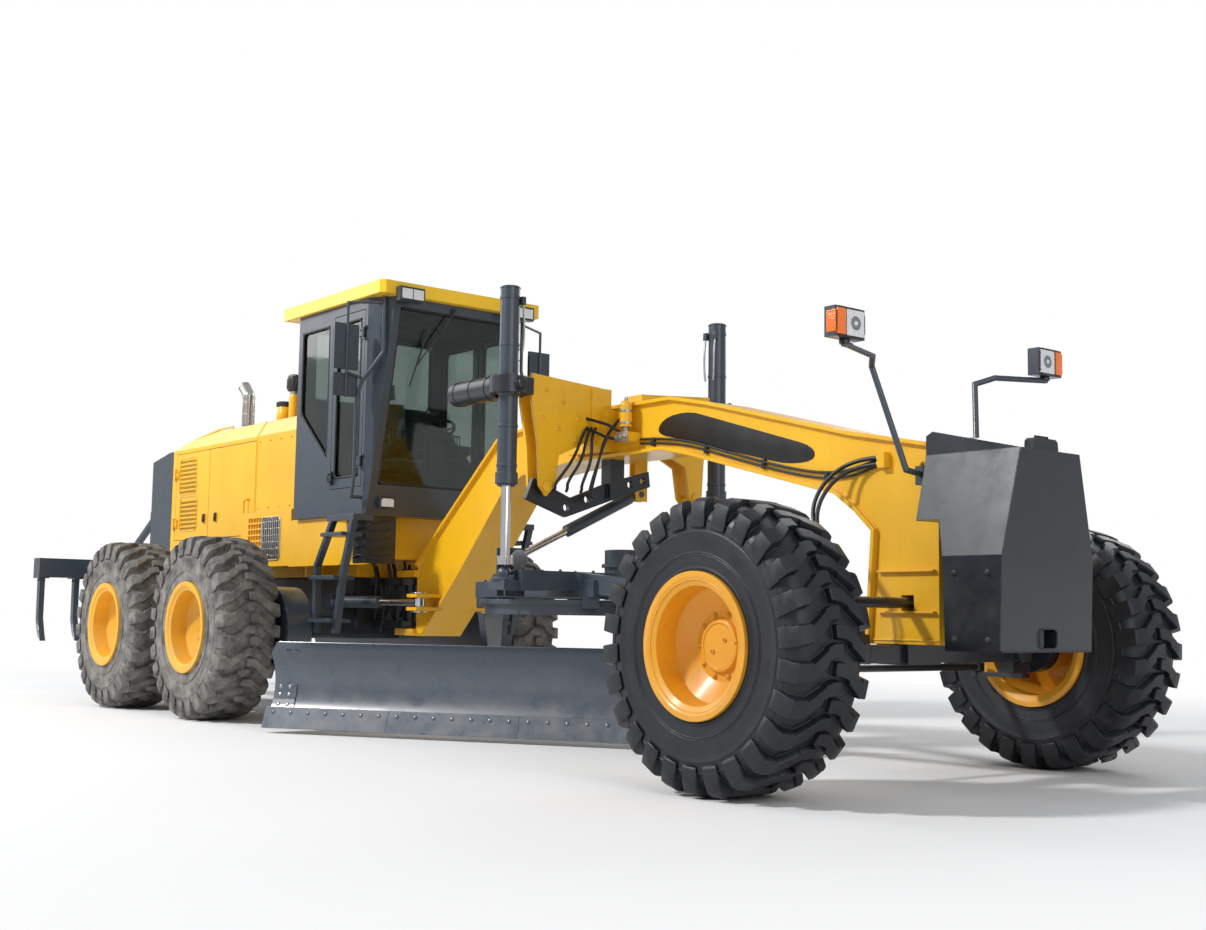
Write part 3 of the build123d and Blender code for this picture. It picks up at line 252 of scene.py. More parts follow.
yellow = (0.93, 0.50, 0.012)
# cab roof: the body yellow made lighter as painted sunlight on the cab's top
sunlitRoofYellow = (1.0, 0.62, 0.018)
# front rims: the yellow darkened as painted shade, since the front wheels stand in shade
rimYellowInShade = (0.80, 0.36, 0.012)
dustyYellow = (0.86, 0.44, 0.014)
slate = (0.036, 0.050, 0.070)
# push block and parts under the frames: a near-black slate paint, darkened further as painted shade
darkSlateWithShade = (0.008, 0.012, 0.019)
bladeBlue = (0.075, 0.095, 0.125)
# front tyres: near-black rubber, darkened as painted shade; rear tyres: rubber under real dust
frontRubberInShade, frontHub = (0.0045, 0.0055, 0.0085), (0.45, 0.80, 0.8)
dustyRubber, dustyHub = (0.045, 0.044, 0.043), (0.40, 0.78, 0.75)
finish = {
    "yellow": paintFinish("yellowEnamel", yellow, rough=0.33, dust=0.14, wear=0.45, coat=0.25),
    # cab roof: yellow lightened as painted sunlight
    "roof": paintFinish("sunlitRoofEnamel", sunlitRoofYellow, rough=0.33, dust=0.12, wear=0.25, coat=0.25),
    # front rims: yellow darkened as painted shade
    "rim": paintFinish("rimEnamel", rimYellowInShade, rough=0.42, dust=0.18, dustTop=1.1, wear=0.4, coat=0.15),
    "rimRear": paintFinish("rimEnamelDusty", dustyYellow, rough=0.5, dust=0.55, dustTop=1.4, wear=0.4,
                           coat=0.1),
    "slate": paintFinish("slateEnamel", slate, rough=0.36, dust=0.14, wear=0.5, bare=(0.13, 0.14, 0.15),
                         coat=0.3),
    # near-black slate, partly darkened as painted shade
    "darkSlateWithShade": paintFinish("darkSlateEnamelWithShade", darkSlateWithShade, rough=0.38, dust=0.09, wear=0.5,
                             bare=(0.10, 0.11, 0.13),
                             coat=0.3),
    "blade": paintFinish("bladeEnamel", bladeBlue, rough=0.30, dust=0.22, dustTop=0.7, wear=0.7,
                         bare=(0.28, 0.29, 0.30), coat=0.45),
    "black": paintFinish("blackEnamel", (0.012, 0.013, 0.016), rough=0.42, dust=0.3, wear=0.5,
                         bare=(0.07, 0.07, 0.075)),
    "cast": paintFinish("castIron", (0.045, 0.047, 0.05), rough=0.6, dust=0.4, wear=0.3, coat=0.0),
    "wornSteel": steelFinish("wornSteel", (0.42, 0.43, 0.45), rough=0.32),
    "stainless": steelFinish("exhaustSteel", (0.62, 0.60, 0.56), rough=0.24, grain=(1.0, 1.0, 6.0),
                             stains=0.45,
                             stain=(0.35, 0.22, 0.10)),
    "chrome": steelFinish("chromeRod", (0.80, 0.81, 0.83), rough=0.10, grain=(1.0, 1.0, 0.2), stains=0.08),
    # front tyres: rubber and dust colour darkened as painted shade
    "tyreFront": rubberFinish("tyreRubber", frontRubberInShade, (0.028, 0.033, 0.043), 0.30, 0.44, frontHub),
    "tyreRear": rubberFinish("tyreRubberDusty", dustyRubber, (0.30, 0.28, 0.255), 0.90, 0.75, dustyHub),
    "glass": glassFinish("tintedGlass", (0.33, 0.39, 0.37)),
    "seal": moulded("windowSeal", (0.010, 0.010, 0.012), 0.55),
    "plastic": moulded("cabPlastic", (0.030, 0.032, 0.036), 0.5),
    "lining": moulded("cabLining", (0.055, 0.060, 0.066), 0.8, 140.0, 0.3),
    "hose": moulded("hoseRubber", (0.012, 0.012, 0.014), 0.42, 120.0, 0.12),
    "seatCloth": moulded("seatVinyl", (0.075, 0.190, 0.155), 0.42, 220.0, 0.35, 0.2),
    "marking": moulded("blackMarking", (0.006, 0.006, 0.007), 0.35, 60.0, 0.03),
    "amber": lensFinish("amberLens", (1.0, 0.20, 0.01), 0.15),
    "clear": lensFinish("clearLens", (0.82, 0.84, 0.86), 0.10),
    "red": lensFinish("redLens", (0.65, 0.01, 0.01), 0.05),
}
print("finishes made:", len(finish))


# mesh helpers
def dress(obj, finishName, body):
    # Finish, body and slot of a piece
    obj.data.materials.append(finish[finishName])
    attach(obj, body)
    return obj


def piece(name, bm, finishName, body, crease=35.0, place=(0, 0, 0)):
    # A finished mesh of its own, riding on a body
    bmesh.ops.recalc_face_normals(bm, faces=bm.faces)
    limit = math.radians(crease)
    for f in bm.faces:
        f.smooth = True
    for e in bm.edges:
        e.smooth = len(e.link_faces) == 2 and e.calc_face_angle(0.0) < limit
    mesh = bpy.data.meshes.new(name)
    bm.to_mesh(mesh)
    bm.free()
    obj = addObject(name, mesh)
    obj.location = place
    return dress(obj, finishName, body)


def addBlock(bm, corner, opposite, bevel=0.004, place=None):
    # Box between any two opposite corners
    low, high = (Vector(map(pick, corner, opposite)) for pick in (min, max))
    made = bmesh.ops.create_cube(bm, size=1.0)["verts"]
    for v in made:
        v.co = Vector((low[i] + (high[i] - low[i]) * (v.co[i] + 0.5) for i in range(3)))
    edges = {e for v in made for e in v.link_edges}
    size = min(bevel, 0.45 * min(high - low))
    made = [v for f in bmesh.ops.bevel(bm, geom=list(edges), offset=size, segments=2, affect="EDGES",
                                       profile=0.7)["faces"] for v in f.verts]
    made = {v for seed in made for f in seed.link_faces for v in f.verts}
    if place is not None:
        for v in made:
            v.co = place @ v.co


def addPlate(bm, centre, half, bevel=0.004):
    # Box given by its middle and half sizes
    addBlock(bm, [c - h for c, h in zip(centre, half)], [c + h for c, h in zip(centre, half)], bevel)


def joinRings(bm, rings, closed):
    # Faces between rings of corners; a ring of one corner is a tip
    sides = max(len(ring) for ring in rings)
    for a, b in list(zip(rings, rings[1:])) + ([(rings[-1], rings[0])] if closed else []):
        for k in range(sides):
            j = (k + 1) % sides
            corners = [a[k % len(a)], a[j % len(a)], b[j % len(b)], b[k % len(b)]]
            corners = list(dict.fromkeys(corners))
            if len(corners) > 2:
                bm.faces.new(corners)


def addLathe(bm, outline, centre, axis, sides=32, start=0.0, closed=False):
    # outline: radius, distance along the axis
    w = Vector(axis).normalized()
    u = w.orthogonal().normalized()
    v = w.cross(u)
    centre = Vector(centre)
    rings = []
    for r, h in outline:
        turns = [start + 2 * math.pi * k / sides for k in range(sides)] if r > 1e-6 else [0.0]
        rings.append([bm.verts.new(centre + w * h + u * (r * math.cos(a)) + v * (r * math.sin(a)))
                      for a in turns])
    joinRings(bm, rings, closed)


def addBand(bm, outline, centre, axis, sides=40):
    addLathe(bm, outline, centre, axis, sides, closed=True)


def addPuck(bm, centre, axis, radius, depth, sides=28, bevel=0.003):
    # Round boss that starts at centre and stands out along axis
    b = min(bevel, radius * 0.4, depth * 0.45)
    addLathe(bm, [(0, 0), (radius, 0), (radius, depth - b), (radius - b * 0.3, depth - b * 0.3),
                  (radius - b, depth), (0, depth)], centre, axis, sides)


def addBolt(bm, centre, axis, radius=0.014, turn=0.0):
    # Washer, chamfered hexagon head and the end of its thread
    shapes = [([(0, -0.001), (radius * 1.25, -0.001), (radius * 1.25, radius * 0.16),
                (radius * 1.15, radius * 0.22),
                (0, radius * 0.22)], 18, 0.0),
              ([(0, radius * 0.2), (radius, radius * 0.2), (radius, radius * 0.78),
                (radius * 0.85, radius * 0.95),
                (0, radius * 0.95)], 6, turn),
              ([(radius * 0.45, radius * 0.9), (radius * 0.45, radius * 1.2), (radius * 0.35, radius * 1.3),
                (0, radius * 1.3)], 12, 0.0)]
    for outline, sides, start in shapes:
        addLathe(bm, outline, centre, axis, sides, start)


def ringSpots(count, radius, centre, plane="xy", start=0.0):
    # Places on a circle, each with its angle
    first, second = ("xyz".index(c) for c in plane)
    for k in range(count):
        angle = start + 2 * math.pi * k / count
        spot = Vector(centre)
        spot[first] += radius * math.cos(angle)
        spot[second] += radius * math.sin(angle)
        yield spot, angle


def addPrism(bm, outline, low, high, axis="y", bevel=0.003):
    # outline in the plane across axis: (x, z) for y, (x, y) for z
    def spot(p, d):
        return (p[0], d, p[1]) if axis == "y" else (p[0], p[1], d)
    a, b = ([bm.verts.new(spot(p, d)) for p in outline] for d in (low, high))
    faces = [bm.faces.new(a), bm.faces.new(b[::-1])]
    n = len(outline)
    for k in range(n):
        faces.append(bm.faces.new((a[k], b[k], b[(k + 1) % n], a[(k + 1) % n])))
    edges = {e for f in faces for e in f.edges}
    bmesh.ops.recalc_face_normals(bm, faces=faces)
    bmesh.ops.bevel(bm, geom=list(edges), offset=bevel, segments=2, affect="EDGES", profile=0.7)


def addRope(bm, points, radius, sides=10, closed=False):
    # Round bar through points, with mitred corners and closed ends
    pts = [Vector(p) for p in points]
    rings = []
    n = len(pts)
    side = None
    for k, p in enumerate(pts):
        before = (p - pts[k - 1]) if (k or closed) else (pts[1] - p)
        after = (pts[(k + 1) % n] - p) if (k < n - 1 or closed) else before
        along = (before.normalized() + after.normalized()).normalized()
        side = along.orthogonal().normalized() if side is None else side
        side = (side - along * side.dot(along)).normalized()
        other = along.cross(side)
        rings.append([bm.verts.new(p + side * (radius * math.cos(2 * math.pi * i / sides))
                                   + other * (radius
                                              * math.sin(2 * math.pi * i / sides))) for i in range(sides)])
    joinRings(bm, rings, closed)
    if not closed:
        bm.faces.new(rings[0][::-1])
        bm.faces.new(rings[-1])


def addLoop(bm, corners, radius, steps=8, sides=8):
    # Closed bar round a window, with points close enough for clean corners
    run = []
    n = len(corners)
    for k in range(n):
        a, b = Vector(corners[k]), Vector(corners[(k + 1) % n])
        inset = min(0.03, (b - a).length * 0.2) / (b - a).length
        run += [a.lerp(b, inset + (1 - 2 * inset) * i / steps) for i in range(steps + 1)]
    addRope(bm, run, radius, sides, True)


def addFrame(bm, spot, a, b, radius):
    # Bar round the rectangle whose corners are spot(a, b)
    addLoop(bm, [spot(a[0], b[0]), spot(a[0], b[1]), spot(a[1], b[1]), spot(a[1], b[0])], radius)


def pipeCurve(name, points, radius, finishName, body):
    # A bent hydraulic line, as a smooth curve with a round section
    data = bpy.data.curves.new(name, "CURVE")
    data.dimensions = "3D"
    data.bevel_depth = radius
    data.bevel_resolution = 3
    data.resolution_u = 8
    data.use_fill_caps = True
    line = data.splines.new("NURBS")
    line.points.add(len(points) - 1)
    for spot, p in zip(line.points, points):
        spot.co = (*p, 1.0)
    line.order_u = 3
    line.use_endpoint_u = True
    return dress(addObject(name, data), finishName, body)


# finishes of the solid pieces
nodeFinish = {
    "yellow": ["front_frame", "engine_hood", "engine_door_left", "engine_door_right", "side_boxes",
               "valve_block",
               "cab_platform"],
    # cab roof takes the yellow lightened as painted sunlight
    "roof": ["cab_roof"],
    "slate": ["cab_shell", "cab_door_left", "cab_door_right", "lift_barrel_left", "lift_barrel_right",
              "drawbar",
              "circle", "shift_barrel", "articulation_barrel_left", "articulation_barrel_right", "access_ladders",
              "mirrors_and_lamps", "ripper", "ripper_barrels", "tandem_drive", "radiator_guard", "lamp_arms"],
    # dark slate paint, darkened further as painted shade
    "darkSlateWithShade": ["push_block", "rear_chassis", "front_axle", "knuckle_left", "knuckle_right", "tie_rod",
                  "lift_yokes"],
    "blade": ["moldboard"],
    "cast": ["engine"],
    "stainless": ["hood_stacks"],
    "chrome": ["lift_rod_left", "lift_rod_right", "shift_rod", "articulation_rod_left",
               "articulation_rod_right",
               "ripper_rods"],
    "glass": ["cab_glass", "door_glass_left", "door_glass_right"],
    # front rims take the yellow darkened as painted shade
    "rim": ["rim_front_left", "rim_front_right"],
    "rimRear": ["rim_middle_left", "rim_middle_right", "rim_rear_left", "rim_rear_right"],
    # front tyres take the rubber darkened as painted shade
    "tyreFront": ["tyre_front_left", "tyre_front_right"],
    "tyreRear": ["tyre_middle_left", "tyre_middle_right", "tyre_rear_left", "tyre_rear_right"],
    "plastic": ["operator_station"],
    "hose": ["nose_hose_upper", "nose_hose_lower"],
}
for finishName, names in nodeFinish.items():
    for name in names:
        nodes[name].data.materials.clear()
        nodes[name].data.materials.append(finish[finishName])
print("solid pieces finished")

# tyres
wheels = {"spots": (("front", 5.44), ("middle", -1.03), ("rear", -2.90)), "half": 1.467, "height": 0.790}
tyre = {
    "lugs": 26, "sides": 104, "crease": 32,
    # half of the carcass outline from the bead to the crown: distance from the middle, radius
    "outline": [(0.228, 0.333), (0.244, 0.372), (0.254, 0.396), (0.2575, 0.404), (0.2575, 0.412),
                (0.252, 0.418),
                (0.258, 0.46), (0.2625, 0.50), (0.2645, 0.545), (0.2640, 0.59), (0.2660, 0.594), (0.2660,
                                                                                                  0.602),
                (0.2625, 0.606), (0.259, 0.64), (0.250, 0.675), (0.236, 0.704), (0.212, 0.727), (0.17, 0.741),
                (0.11, 0.748), (0.05, 0.751)],
    # stations along a lug from the middle outwards: distance, turn in degrees, foot radius, top radius, half width
    "stations": [(-0.022, 0.2, 0.742, 0.786, 0.030), (-0.016, 0.2, 0.742, 0.790, 0.037),
                 (0.040, 0.5, 0.742, 0.790, 0.040), (0.082, 1.8, 0.740, 0.790, 0.041),
                 (0.086, 3.0, 0.740, 0.790, 0.044), (0.150, 6.4, 0.732, 0.789, 0.046),
                 (0.186, 8.4, 0.724, 0.787, 0.047), (0.192, 8.0, 0.722, 0.785, 0.052),
                 (0.228, 8.4, 0.700, 0.779, 0.053), (0.258, 8.8, 0.672, 0.760, 0.054),
                 (0.268, 9.0, 0.640, 0.722, 0.053), (0.270, 9.1, 0.620, 0.664, 0.050)],
    # moulding ribs round each side wall: radius, distance from the middle
    "ribs": ((0.474, 0.2620), (0.486, 0.2625), (0.655, 0.2570)),
}


def wheelPoint(angle, radius, offset):
    return Vector((radius * math.cos(angle), offset, radius * math.sin(angle)))


def addTyre(bm, seed):
    rng = random.Random(seed)
    outline = tyre["outline"] + [(-y, r) for y, r in reversed(tyre["outline"])]
    turns = [2 * math.pi * k / tyre["sides"] for k in range(tyre["sides"])]
    joinRings(bm, [[bm.verts.new(wheelPoint(a, r, y)) for a in turns] for y, r in outline], True)
    pitch = 2 * math.pi / tyre["lugs"]
    for side, k in ((side, k) for side in (1, -1) for k in range(tyre["lugs"])):
        middle = math.pi / 2 - (k + (0.0 if side > 0 else 0.5)) * pitch
        chipped = rng.uniform(0.0, 0.0025)
        sections = []
        for y, turn, foot, top, wide in tyre["stations"]:
            at = middle - math.radians(turn)
            lean, edge = 0.86 * wide / top, 0.94 * wide / top
            top -= chipped
            section = [(at + wide / foot, foot), (at + edge, top - 0.007), (at + lean, top), (at - lean, top),
                       (at - edge, top - 0.007), (at - wide / foot, foot)]
            sections.append([bm.verts.new(wheelPoint(a, r, side * y)) for a, r in section])
        joinRings(bm, sections, False)
        bm.faces.new(sections[0][::-1])
        bm.faces.new(sections[-1])
    for side, (r, proud) in ((side, rib) for side in (1, -1) for rib in tyre["ribs"]):
        addLathe(bm, [(r, side * (proud - 0.010)), (r + 0.001, side * (proud + 0.0022)),
                      (r + 0.004, side * (proud + 0.0022)), (r + 0.006, side * (proud - 0.010))],
                 (0, 0, 0), (0, 1, 0), tyre["sides"])


for label, x in wheels["spots"]:
    for side, hand in hands:
        bm = bmesh.new()
        addTyre(bm, label + hand)
        # front tyres take the finish darkened as painted shade
        obj = piece(f"treadedTyre_{label}_{hand}", bm, "tyreFront" if label == "front" else "tyreRear",
                    f"wheel_{label}_{hand}", tyre["crease"], (x, side * wheels["half"], wheels["height"]))
        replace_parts(obj, f"tyre_{label}_{hand}")
print("tyres made")

# rims: lock ring, nuts, hub cap and valve
rimParts = {"dish": 0.075, "nutCircle": 0.170, "nuts": 10, "nutRadius": 0.0155, "cap": 0.126, "plugs": 0.055,
            "rings": ((0.349, 0.262), (0.333, 0.243), (0.3185, 0.205))}
for label, x in wheels["spots"]:
    for side, hand in hands:
        out = Vector((0, side, 0))
        hub = Vector((x, side * wheels["half"], wheels["height"]))
        face = hub + out * rimParts["dish"]
        cap, nut = rimParts["cap"], rimParts["nutRadius"]
        bm = bmesh.new()
        for spot, a in ringSpots(rimParts["nuts"], rimParts["nutCircle"], face - out * 0.020, "xz"):
            addPuck(bm, spot - out * 0.006, out, nut * 1.25, 0.010, 20)
            addBolt(bm, spot, out, nut, a)
        addLathe(bm, [(cap + 0.012, -0.004), (cap + 0.012, 0.008), (cap + 0.004, 0.012), (cap - 0.006, 0.012),
                      (cap - 0.010, 0.007), (0, 0.009)], face, out, 40)
        for spot, a in ringSpots(2, rimParts["plugs"], face, "xz", 0.6):
            addLathe(bm, [(0.010, 0.006), (0.012, 0.014), (0.009, 0.016), (0.007, 0.010), (0, 0.009)], spot,
                     out, 16)
        for r, at in rimParts["rings"]:
            addBand(bm, [(r - 0.006, at - 0.006), (r - 0.0075, at), (r - 0.006, at + 0.006), (r, at + 0.0085),
                         (r + 0.006, at + 0.006), (r + 0.008, at), (r + 0.006, at - 0.006)], hub, out, 72)
        addRope(bm, [hub + out * y + Vector((r, 0, 0.02))
                     for y, r in ((0.19, 0.302), (0.235, 0.296), (0.25, 0.286))],
                0.006)
        # the front wheels' nuts, cap and rings take the rim yellow darkened as painted shade
        piece(f"wheelNuts_{label}_{hand}", bm, "rim" if label == "front" else "rimRear",
              f"wheel_{label}_{hand}")
print("rim parts made")

# the blank black slanted mark on each side of the gooseneck
mark = {"outline": [(3.350, 2.235), (3.344, 2.256), (3.356, 2.283), (3.385, 2.308), (3.430, 2.329),
                    (3.490, 2.343),
                    (3.570, 2.350), (3.650, 2.348), (3.730, 2.337), (4.710, 2.055), (4.770, 2.034), (4.812,
                                                                                                     2.009),
                    (4.834, 1.983), (4.836, 1.959), (4.818, 1.940), (4.780, 1.928), (4.720, 1.923), (4.640,
                                                                                                     1.925),
                    (4.560, 1.934), (4.480, 1.950), (3.500, 2.185), (3.430, 2.200), (3.380, 2.216)],
        "face": 0.165, "thick": 0.0035}
for side, hand in hands:
    bm = bmesh.new()
    low, high = sorted((side * (mark["face"] - 0.001), side * (mark["face"] + mark["thick"])))
    addPrism(bm, mark["outline"], low, high, "y", 0.0012)
    piece(f"blankMark_{hand}", bm, "marking", "front_frame")
print("marks made")

# hoses at the nose
noseHoses = {
    "nose_hose_upper": {"length": 1.43, "route": [
        (5.370, -0.190, 1.905), (5.215, -0.205, 1.905), (5.060, -0.275, 1.815), (4.995, -0.355, 1.650),
        (5.060, -0.415, 1.480), (5.200, -0.430, 1.350), (5.310, -0.405, 1.195), (5.370, -0.365, 1.035),
        (5.378, -0.350, 0.875)]},
    "nose_hose_lower": {"length": 1.338, "route": [
        (5.370, -0.190, 1.868), (5.235, -0.215, 1.862), (5.105, -0.300, 1.775), (5.060, -0.385, 1.620),
        (5.125, -0.455, 1.460), (5.255, -0.485, 1.325), (5.345, -0.470, 1.165), (5.376, -0.430, 1.015),
        (5.378, -0.410, 0.875)]},
}
for name, facts in noseHoses.items():
    obj = pipeCurve(name.replace("nose_hose", "noseHose"), facts["route"], 0.013, "hose", "front_frame")
    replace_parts(obj, name)
    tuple(facts["route"][0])
print("nose hoses made")

# weld seams along the edges of the gooseneck
neck = {
    "top": [(0.20, 1.335), (1.39, 2.325), (2.04, 2.425), (2.74, 2.445), (3.49, 2.450), (3.87, 2.375),
            (5.14, 2.060),
            (5.79, 1.935)],
    "low": [(5.79, 0.825), (5.29, 0.825), (5.345, 1.482), (5.205, 1.612), (5.03, 1.736), (4.875, 1.771),
            (3.715, 2.066), (3.41, 2.131), (3.04, 2.121), (2.35, 2.116), (1.745, 2.056), (1.447, 1.905),
            (0.882, 1.306), (0.318, 0.771)],
    "web": 0.165, "weld": 0.0065, "ripple": 0.0015, "step": 0.05,
}
for side, hand in hands:
    bm = bmesh.new()
    rng = random.Random("weld" + hand)
    for edge in (neck["top"], neck["low"]):
        run = []
        for (xa, za), (xb, zb) in zip(edge, edge[1:]):
            steps = max(2, int(math.hypot(xb - xa, zb - za) / neck["step"]))
            run += [(xa + (xb - xa) * k / steps, side
                     * (neck["web"] + 0.001 + rng.uniform(0, neck["ripple"])),
                     za + (zb - za) * k / steps) for k in range(steps)]
        addRope(bm, run, neck["weld"], 6)
    piece(f"neckWelds_{hand}", bm, "yellow", "front_frame", 60)

# bolts of the saddle, and its crank pins
saddle = {"x": 2.690, "half": 0.080, "bolt": 0.015,
          "plate": ((0.44, 2.36), (0.58, 2.47), (0.73, 2.54), (0.47, 2.20), (0.62, 2.27), (0.76, 2.34)),
          "pins": (0.715, 1.85), "flankX": (-0.06, 0.06), "flankZ": (2.33, 2.40, 2.52)}
bm = bmesh.new()
for side in (-1, 1):
    for way, turn in ((1, 9), (-1, 5)):
        for y, z in saddle["plate"]:
            addBolt(bm, (saddle["x"] + way * saddle["half"], side * y, z), (way, 0, 0), saddle["bolt"],
                    y * turn)
        addPuck(bm, (saddle["x"] + way * 0.083, side * saddle["pins"][0], saddle["pins"][1]), (way, 0, 0),
                0.040,
                0.012)
    for x in saddle["flankX"]:
        for z in saddle["flankZ"]:
            addBolt(bm, (saddle["x"] + x, side * 0.329, z), (0, side, 0), 0.011, x * 30)
piece("saddleBolts", bm, "yellow", "front_frame")

# stiffening ribs and bolts on the leg at the nose
noseLeg = {"ribs": (0.98, 1.22), "ribX": (5.36, 5.78), "ribY": (0.163, 0.198), "thick": 0.012,
           "bolts": (5.42, 5.55, 5.68), "boltZ": 1.85}
bm = bmesh.new()
for side in (-1, 1):
    for z in noseLeg["ribs"]:
        addBlock(bm, (noseLeg["ribX"][0], side * noseLeg["ribY"][0], z),
                 (noseLeg["ribX"][1], side * noseLeg["ribY"][1], z + noseLeg["thick"]), 0.002)
    for x in noseLeg["bolts"]:
        addBolt(bm, (x, side * 0.166, noseLeg["boltZ"]), (0, side, 0), 0.013, x)
piece("noseRibs", bm, "yellow", "front_frame")

# covers of the frame hinge
hinge = {"x": -0.16, "cover": 0.092, "circle": 0.074, "thick": 0.014, "faces": ((1.311, 1), (0.744, -1))}
bm = bmesh.new()
for z, way in hinge["faces"]:
    addPuck(bm, (hinge["x"], 0, z), (0, 0, way), hinge["cover"], hinge["thick"], 36)
    for spot, a in ringSpots(6, hinge["circle"], (hinge["x"], 0, z + way * hinge["thick"])):
        addBolt(bm, spot, (0, 0, way), 0.009, a)
piece("hingeCovers", bm, "darkSlateWithShade", "front_frame")
print("gooseneck details made")

# hydraulic lines on the saddle and the gooseneck: radius and route
lineRuns = {
    "saddleHoseA": (0.011, [(2.16, -0.271, 2.43), (2.30, -0.33, 2.50), (2.55, -0.39, 2.43),
                            (2.80, -0.36, 2.36),
                            (3.00, -0.30, 2.30), (3.075, -0.262, 2.225)]),
    "saddleHoseB": (0.011, [(2.16, -0.271, 2.39), (2.32, -0.34, 2.45), (2.58, -0.40, 2.36),
                            (2.82, -0.35, 2.28),
                            (2.98, -0.30, 2.20), (3.02, -0.262, 2.215)]),
    "saddleHoseC": (0.010, [(2.92, -0.205, 2.33), (2.90, -0.29, 2.25), (2.89, -0.34, 2.05),
                            (2.86, -0.37, 1.88),
                            (2.78, -0.33, 1.80), (2.745, -0.25, 1.815)]),
    "saddleHoseD": (0.010, [(2.95, -0.205, 2.36), (2.95, -0.30, 2.27), (2.93, -0.37, 2.06),
                            (2.88, -0.41, 1.86),
                            (2.80, -0.36, 1.76), (2.745, -0.28, 1.79)]),
    "neckPipeUpper": (0.009, [(3.16, -0.176, 2.20), (3.55, -0.178, 2.185), (4.10, -0.178, 2.03),
                              (4.75, -0.178, 1.86), (5.15, -0.178, 1.83), (5.375, -0.178, 1.905)]),
    "neckPipeLower": (0.009, [(3.16, -0.176, 2.17), (3.55, -0.178, 2.155), (4.10, -0.178, 2.00),
                              (4.75, -0.178, 1.83), (5.15, -0.178, 1.79), (5.375, -0.178, 1.868)]),
}
for name, (radius, route) in lineRuns.items():
    pipeCurve(name, route, radius, "hose", "front_frame")

# clamps of the pipes, and the port block where the hoses start
clamps = {"spots": ((3.30, 2.180), (3.85, 2.085), (4.40, 1.945), (4.95, 1.830)), "ports": (2.39, 2.43),
          "block": ((2.13, -0.285, 2.36), (2.20, -0.259, 2.46))}
bm = bmesh.new()
for x, z in clamps["spots"]:
    addBlock(bm, (x - 0.014, -0.190, z - 0.040), (x + 0.014, -0.165, z + 0.022), 0.003)
    addBolt(bm, (x, -0.190, z - 0.009), (0, -1, 0), 0.007)
addBlock(bm, *clamps["block"])
for z in clamps["ports"]:
    addPuck(bm, (2.16, -0.283, z), (0, -1, 0), 0.016, 0.012, 16)
piece("lineClamps", bm, "darkSlateWithShade", "front_frame")
print("hydraulic lines made")

# accumulator: clamp bands, valve and screws on the yellow bottle
bottle = {"x": 3.080, "y": -0.250, "radius": 0.045, "bands": (2.315, 2.405), "top": 2.484,
          "foot": ((3.012, -0.297, 2.178), (3.152, -0.285, 2.252)), "screws": (3.03, 3.08, 3.13)}
bm = bmesh.new()
for z in bottle["bands"]:
    addBand(bm, [(bottle["radius"] + grow, h) for grow,
                 h in ((-0.002, -0.009), (0.003, -0.009), (0.003, 0.009),
                                                              (-0.002, 0.009))], (bottle["x"], bottle["y"],
                                                                                  z), toTop)
addPuck(bm, (bottle["x"], bottle["y"], bottle["top"]), toTop, 0.014, 0.022, 20)
addLathe(bm, [(0, 2.262), (0.026, 2.262), (0.026, 2.288), (0.020, 2.292), (0, 2.292)],
         (bottle["x"], bottle["y"], 0), toTop, 6)
addBlock(bm, *bottle["foot"])
for x in bottle["screws"]:
    addPuck(bm, (x, -0.296, 2.214), (0, -1, 0), 0.015, 0.016, 6)
piece("bottleFittings", bm, "wornSteel", "front_frame")

# lift cylinders: gland nuts, clamps and feed pipes
lift = {"x": 2.690, "y": 1.010, "foot": 1.850, "top": 3.250, "clamps": (1.98, 2.26, 2.84, 3.18),
        "ports": 0.055,
        "socketZ": 2.550, "tubeRings": (2.10, 2.30, 2.50)}
for side, hand in hands:
    x, y, foot = lift["x"], side * lift["y"], lift["foot"]
    bm = bmesh.new()
    addBand(bm, [(0.0355, -0.012), (0.062, -0.012), (0.066, -0.008), (0.066, 0.0), (0.0355, 0.0)],
            (x, y, foot),
            toTop)
    for spot, a in ringSpots(8, 0.052, (x, y, foot - 0.012), "xy", 0.2):
        addBolt(bm, spot, (0, 0, -1), 0.006, a)
    for z in lift["clamps"]:
        addBand(bm, [(0.069, -0.012), (0.074, -0.010), (0.074, 0.010), (0.069, 0.012)], (x, y, z), toTop)
    addLathe(bm, [(0.074, -0.002), (0.074, 0.006), (0.060, 0.014), (0.030, 0.018), (0, 0.018)],
             (x, y, lift["top"]),
             toTop, 40)
    for dx in (lift["ports"], -lift["ports"]):
        addPlate(bm, (x + dx, y - 0.072 * side, 3.16), (0.018, 0.016, 0.03))
    piece(f"liftCylinderTrim_{hand}", bm, "slate", f"lift_barrel_{hand}")
    for tag, dx in (("A", lift["ports"]), ("B", -lift["ports"])):
        pipeCurve(f"liftCylinderPipe{tag}_{hand}", [
            (x + dx, y - side * 0.072, 3.17), (x + dx, y - side * 0.088, 3.05), (x + dx, y - side * 0.088,
                                                                                 2.86),
            (x + dx * 0.8, y - side * 0.084, 2.80)], 0.008, "wornSteel", f"lift_barrel_{hand}")
    # yoke bolts round the socket, and the dark cap of its long tube
    bm = bmesh.new()
    for way in (1, -1):
        for spot, a in ringSpots(10, 0.116, (x, y, lift["socketZ"] + way * 0.061), "xy", 0.31):
            if abs(math.cos(a)) < 0.96:
                addBolt(bm, spot, (0, 0, way), 0.011, a)
    for ringX in lift["tubeRings"]:
        addBand(bm, [(0.089, -0.008), (0.0945, -0.006), (0.0945, 0.006), (0.089, 0.008)],
                (ringX, y, lift["socketZ"]),
                toFront, 48)
    for spot, a in ringSpots(6, 0.066, (2.04, y, lift["socketZ"]), "yz"):
        addBolt(bm, spot, toRear, 0.010, a)
    addPuck(bm, (2.855, y, lift["socketZ"]), toFront, 0.037, 0.020)
    piece(f"yokeTrim_{hand}", bm, "darkSlateWithShade", "front_frame")
print("lift cylinders dressed")

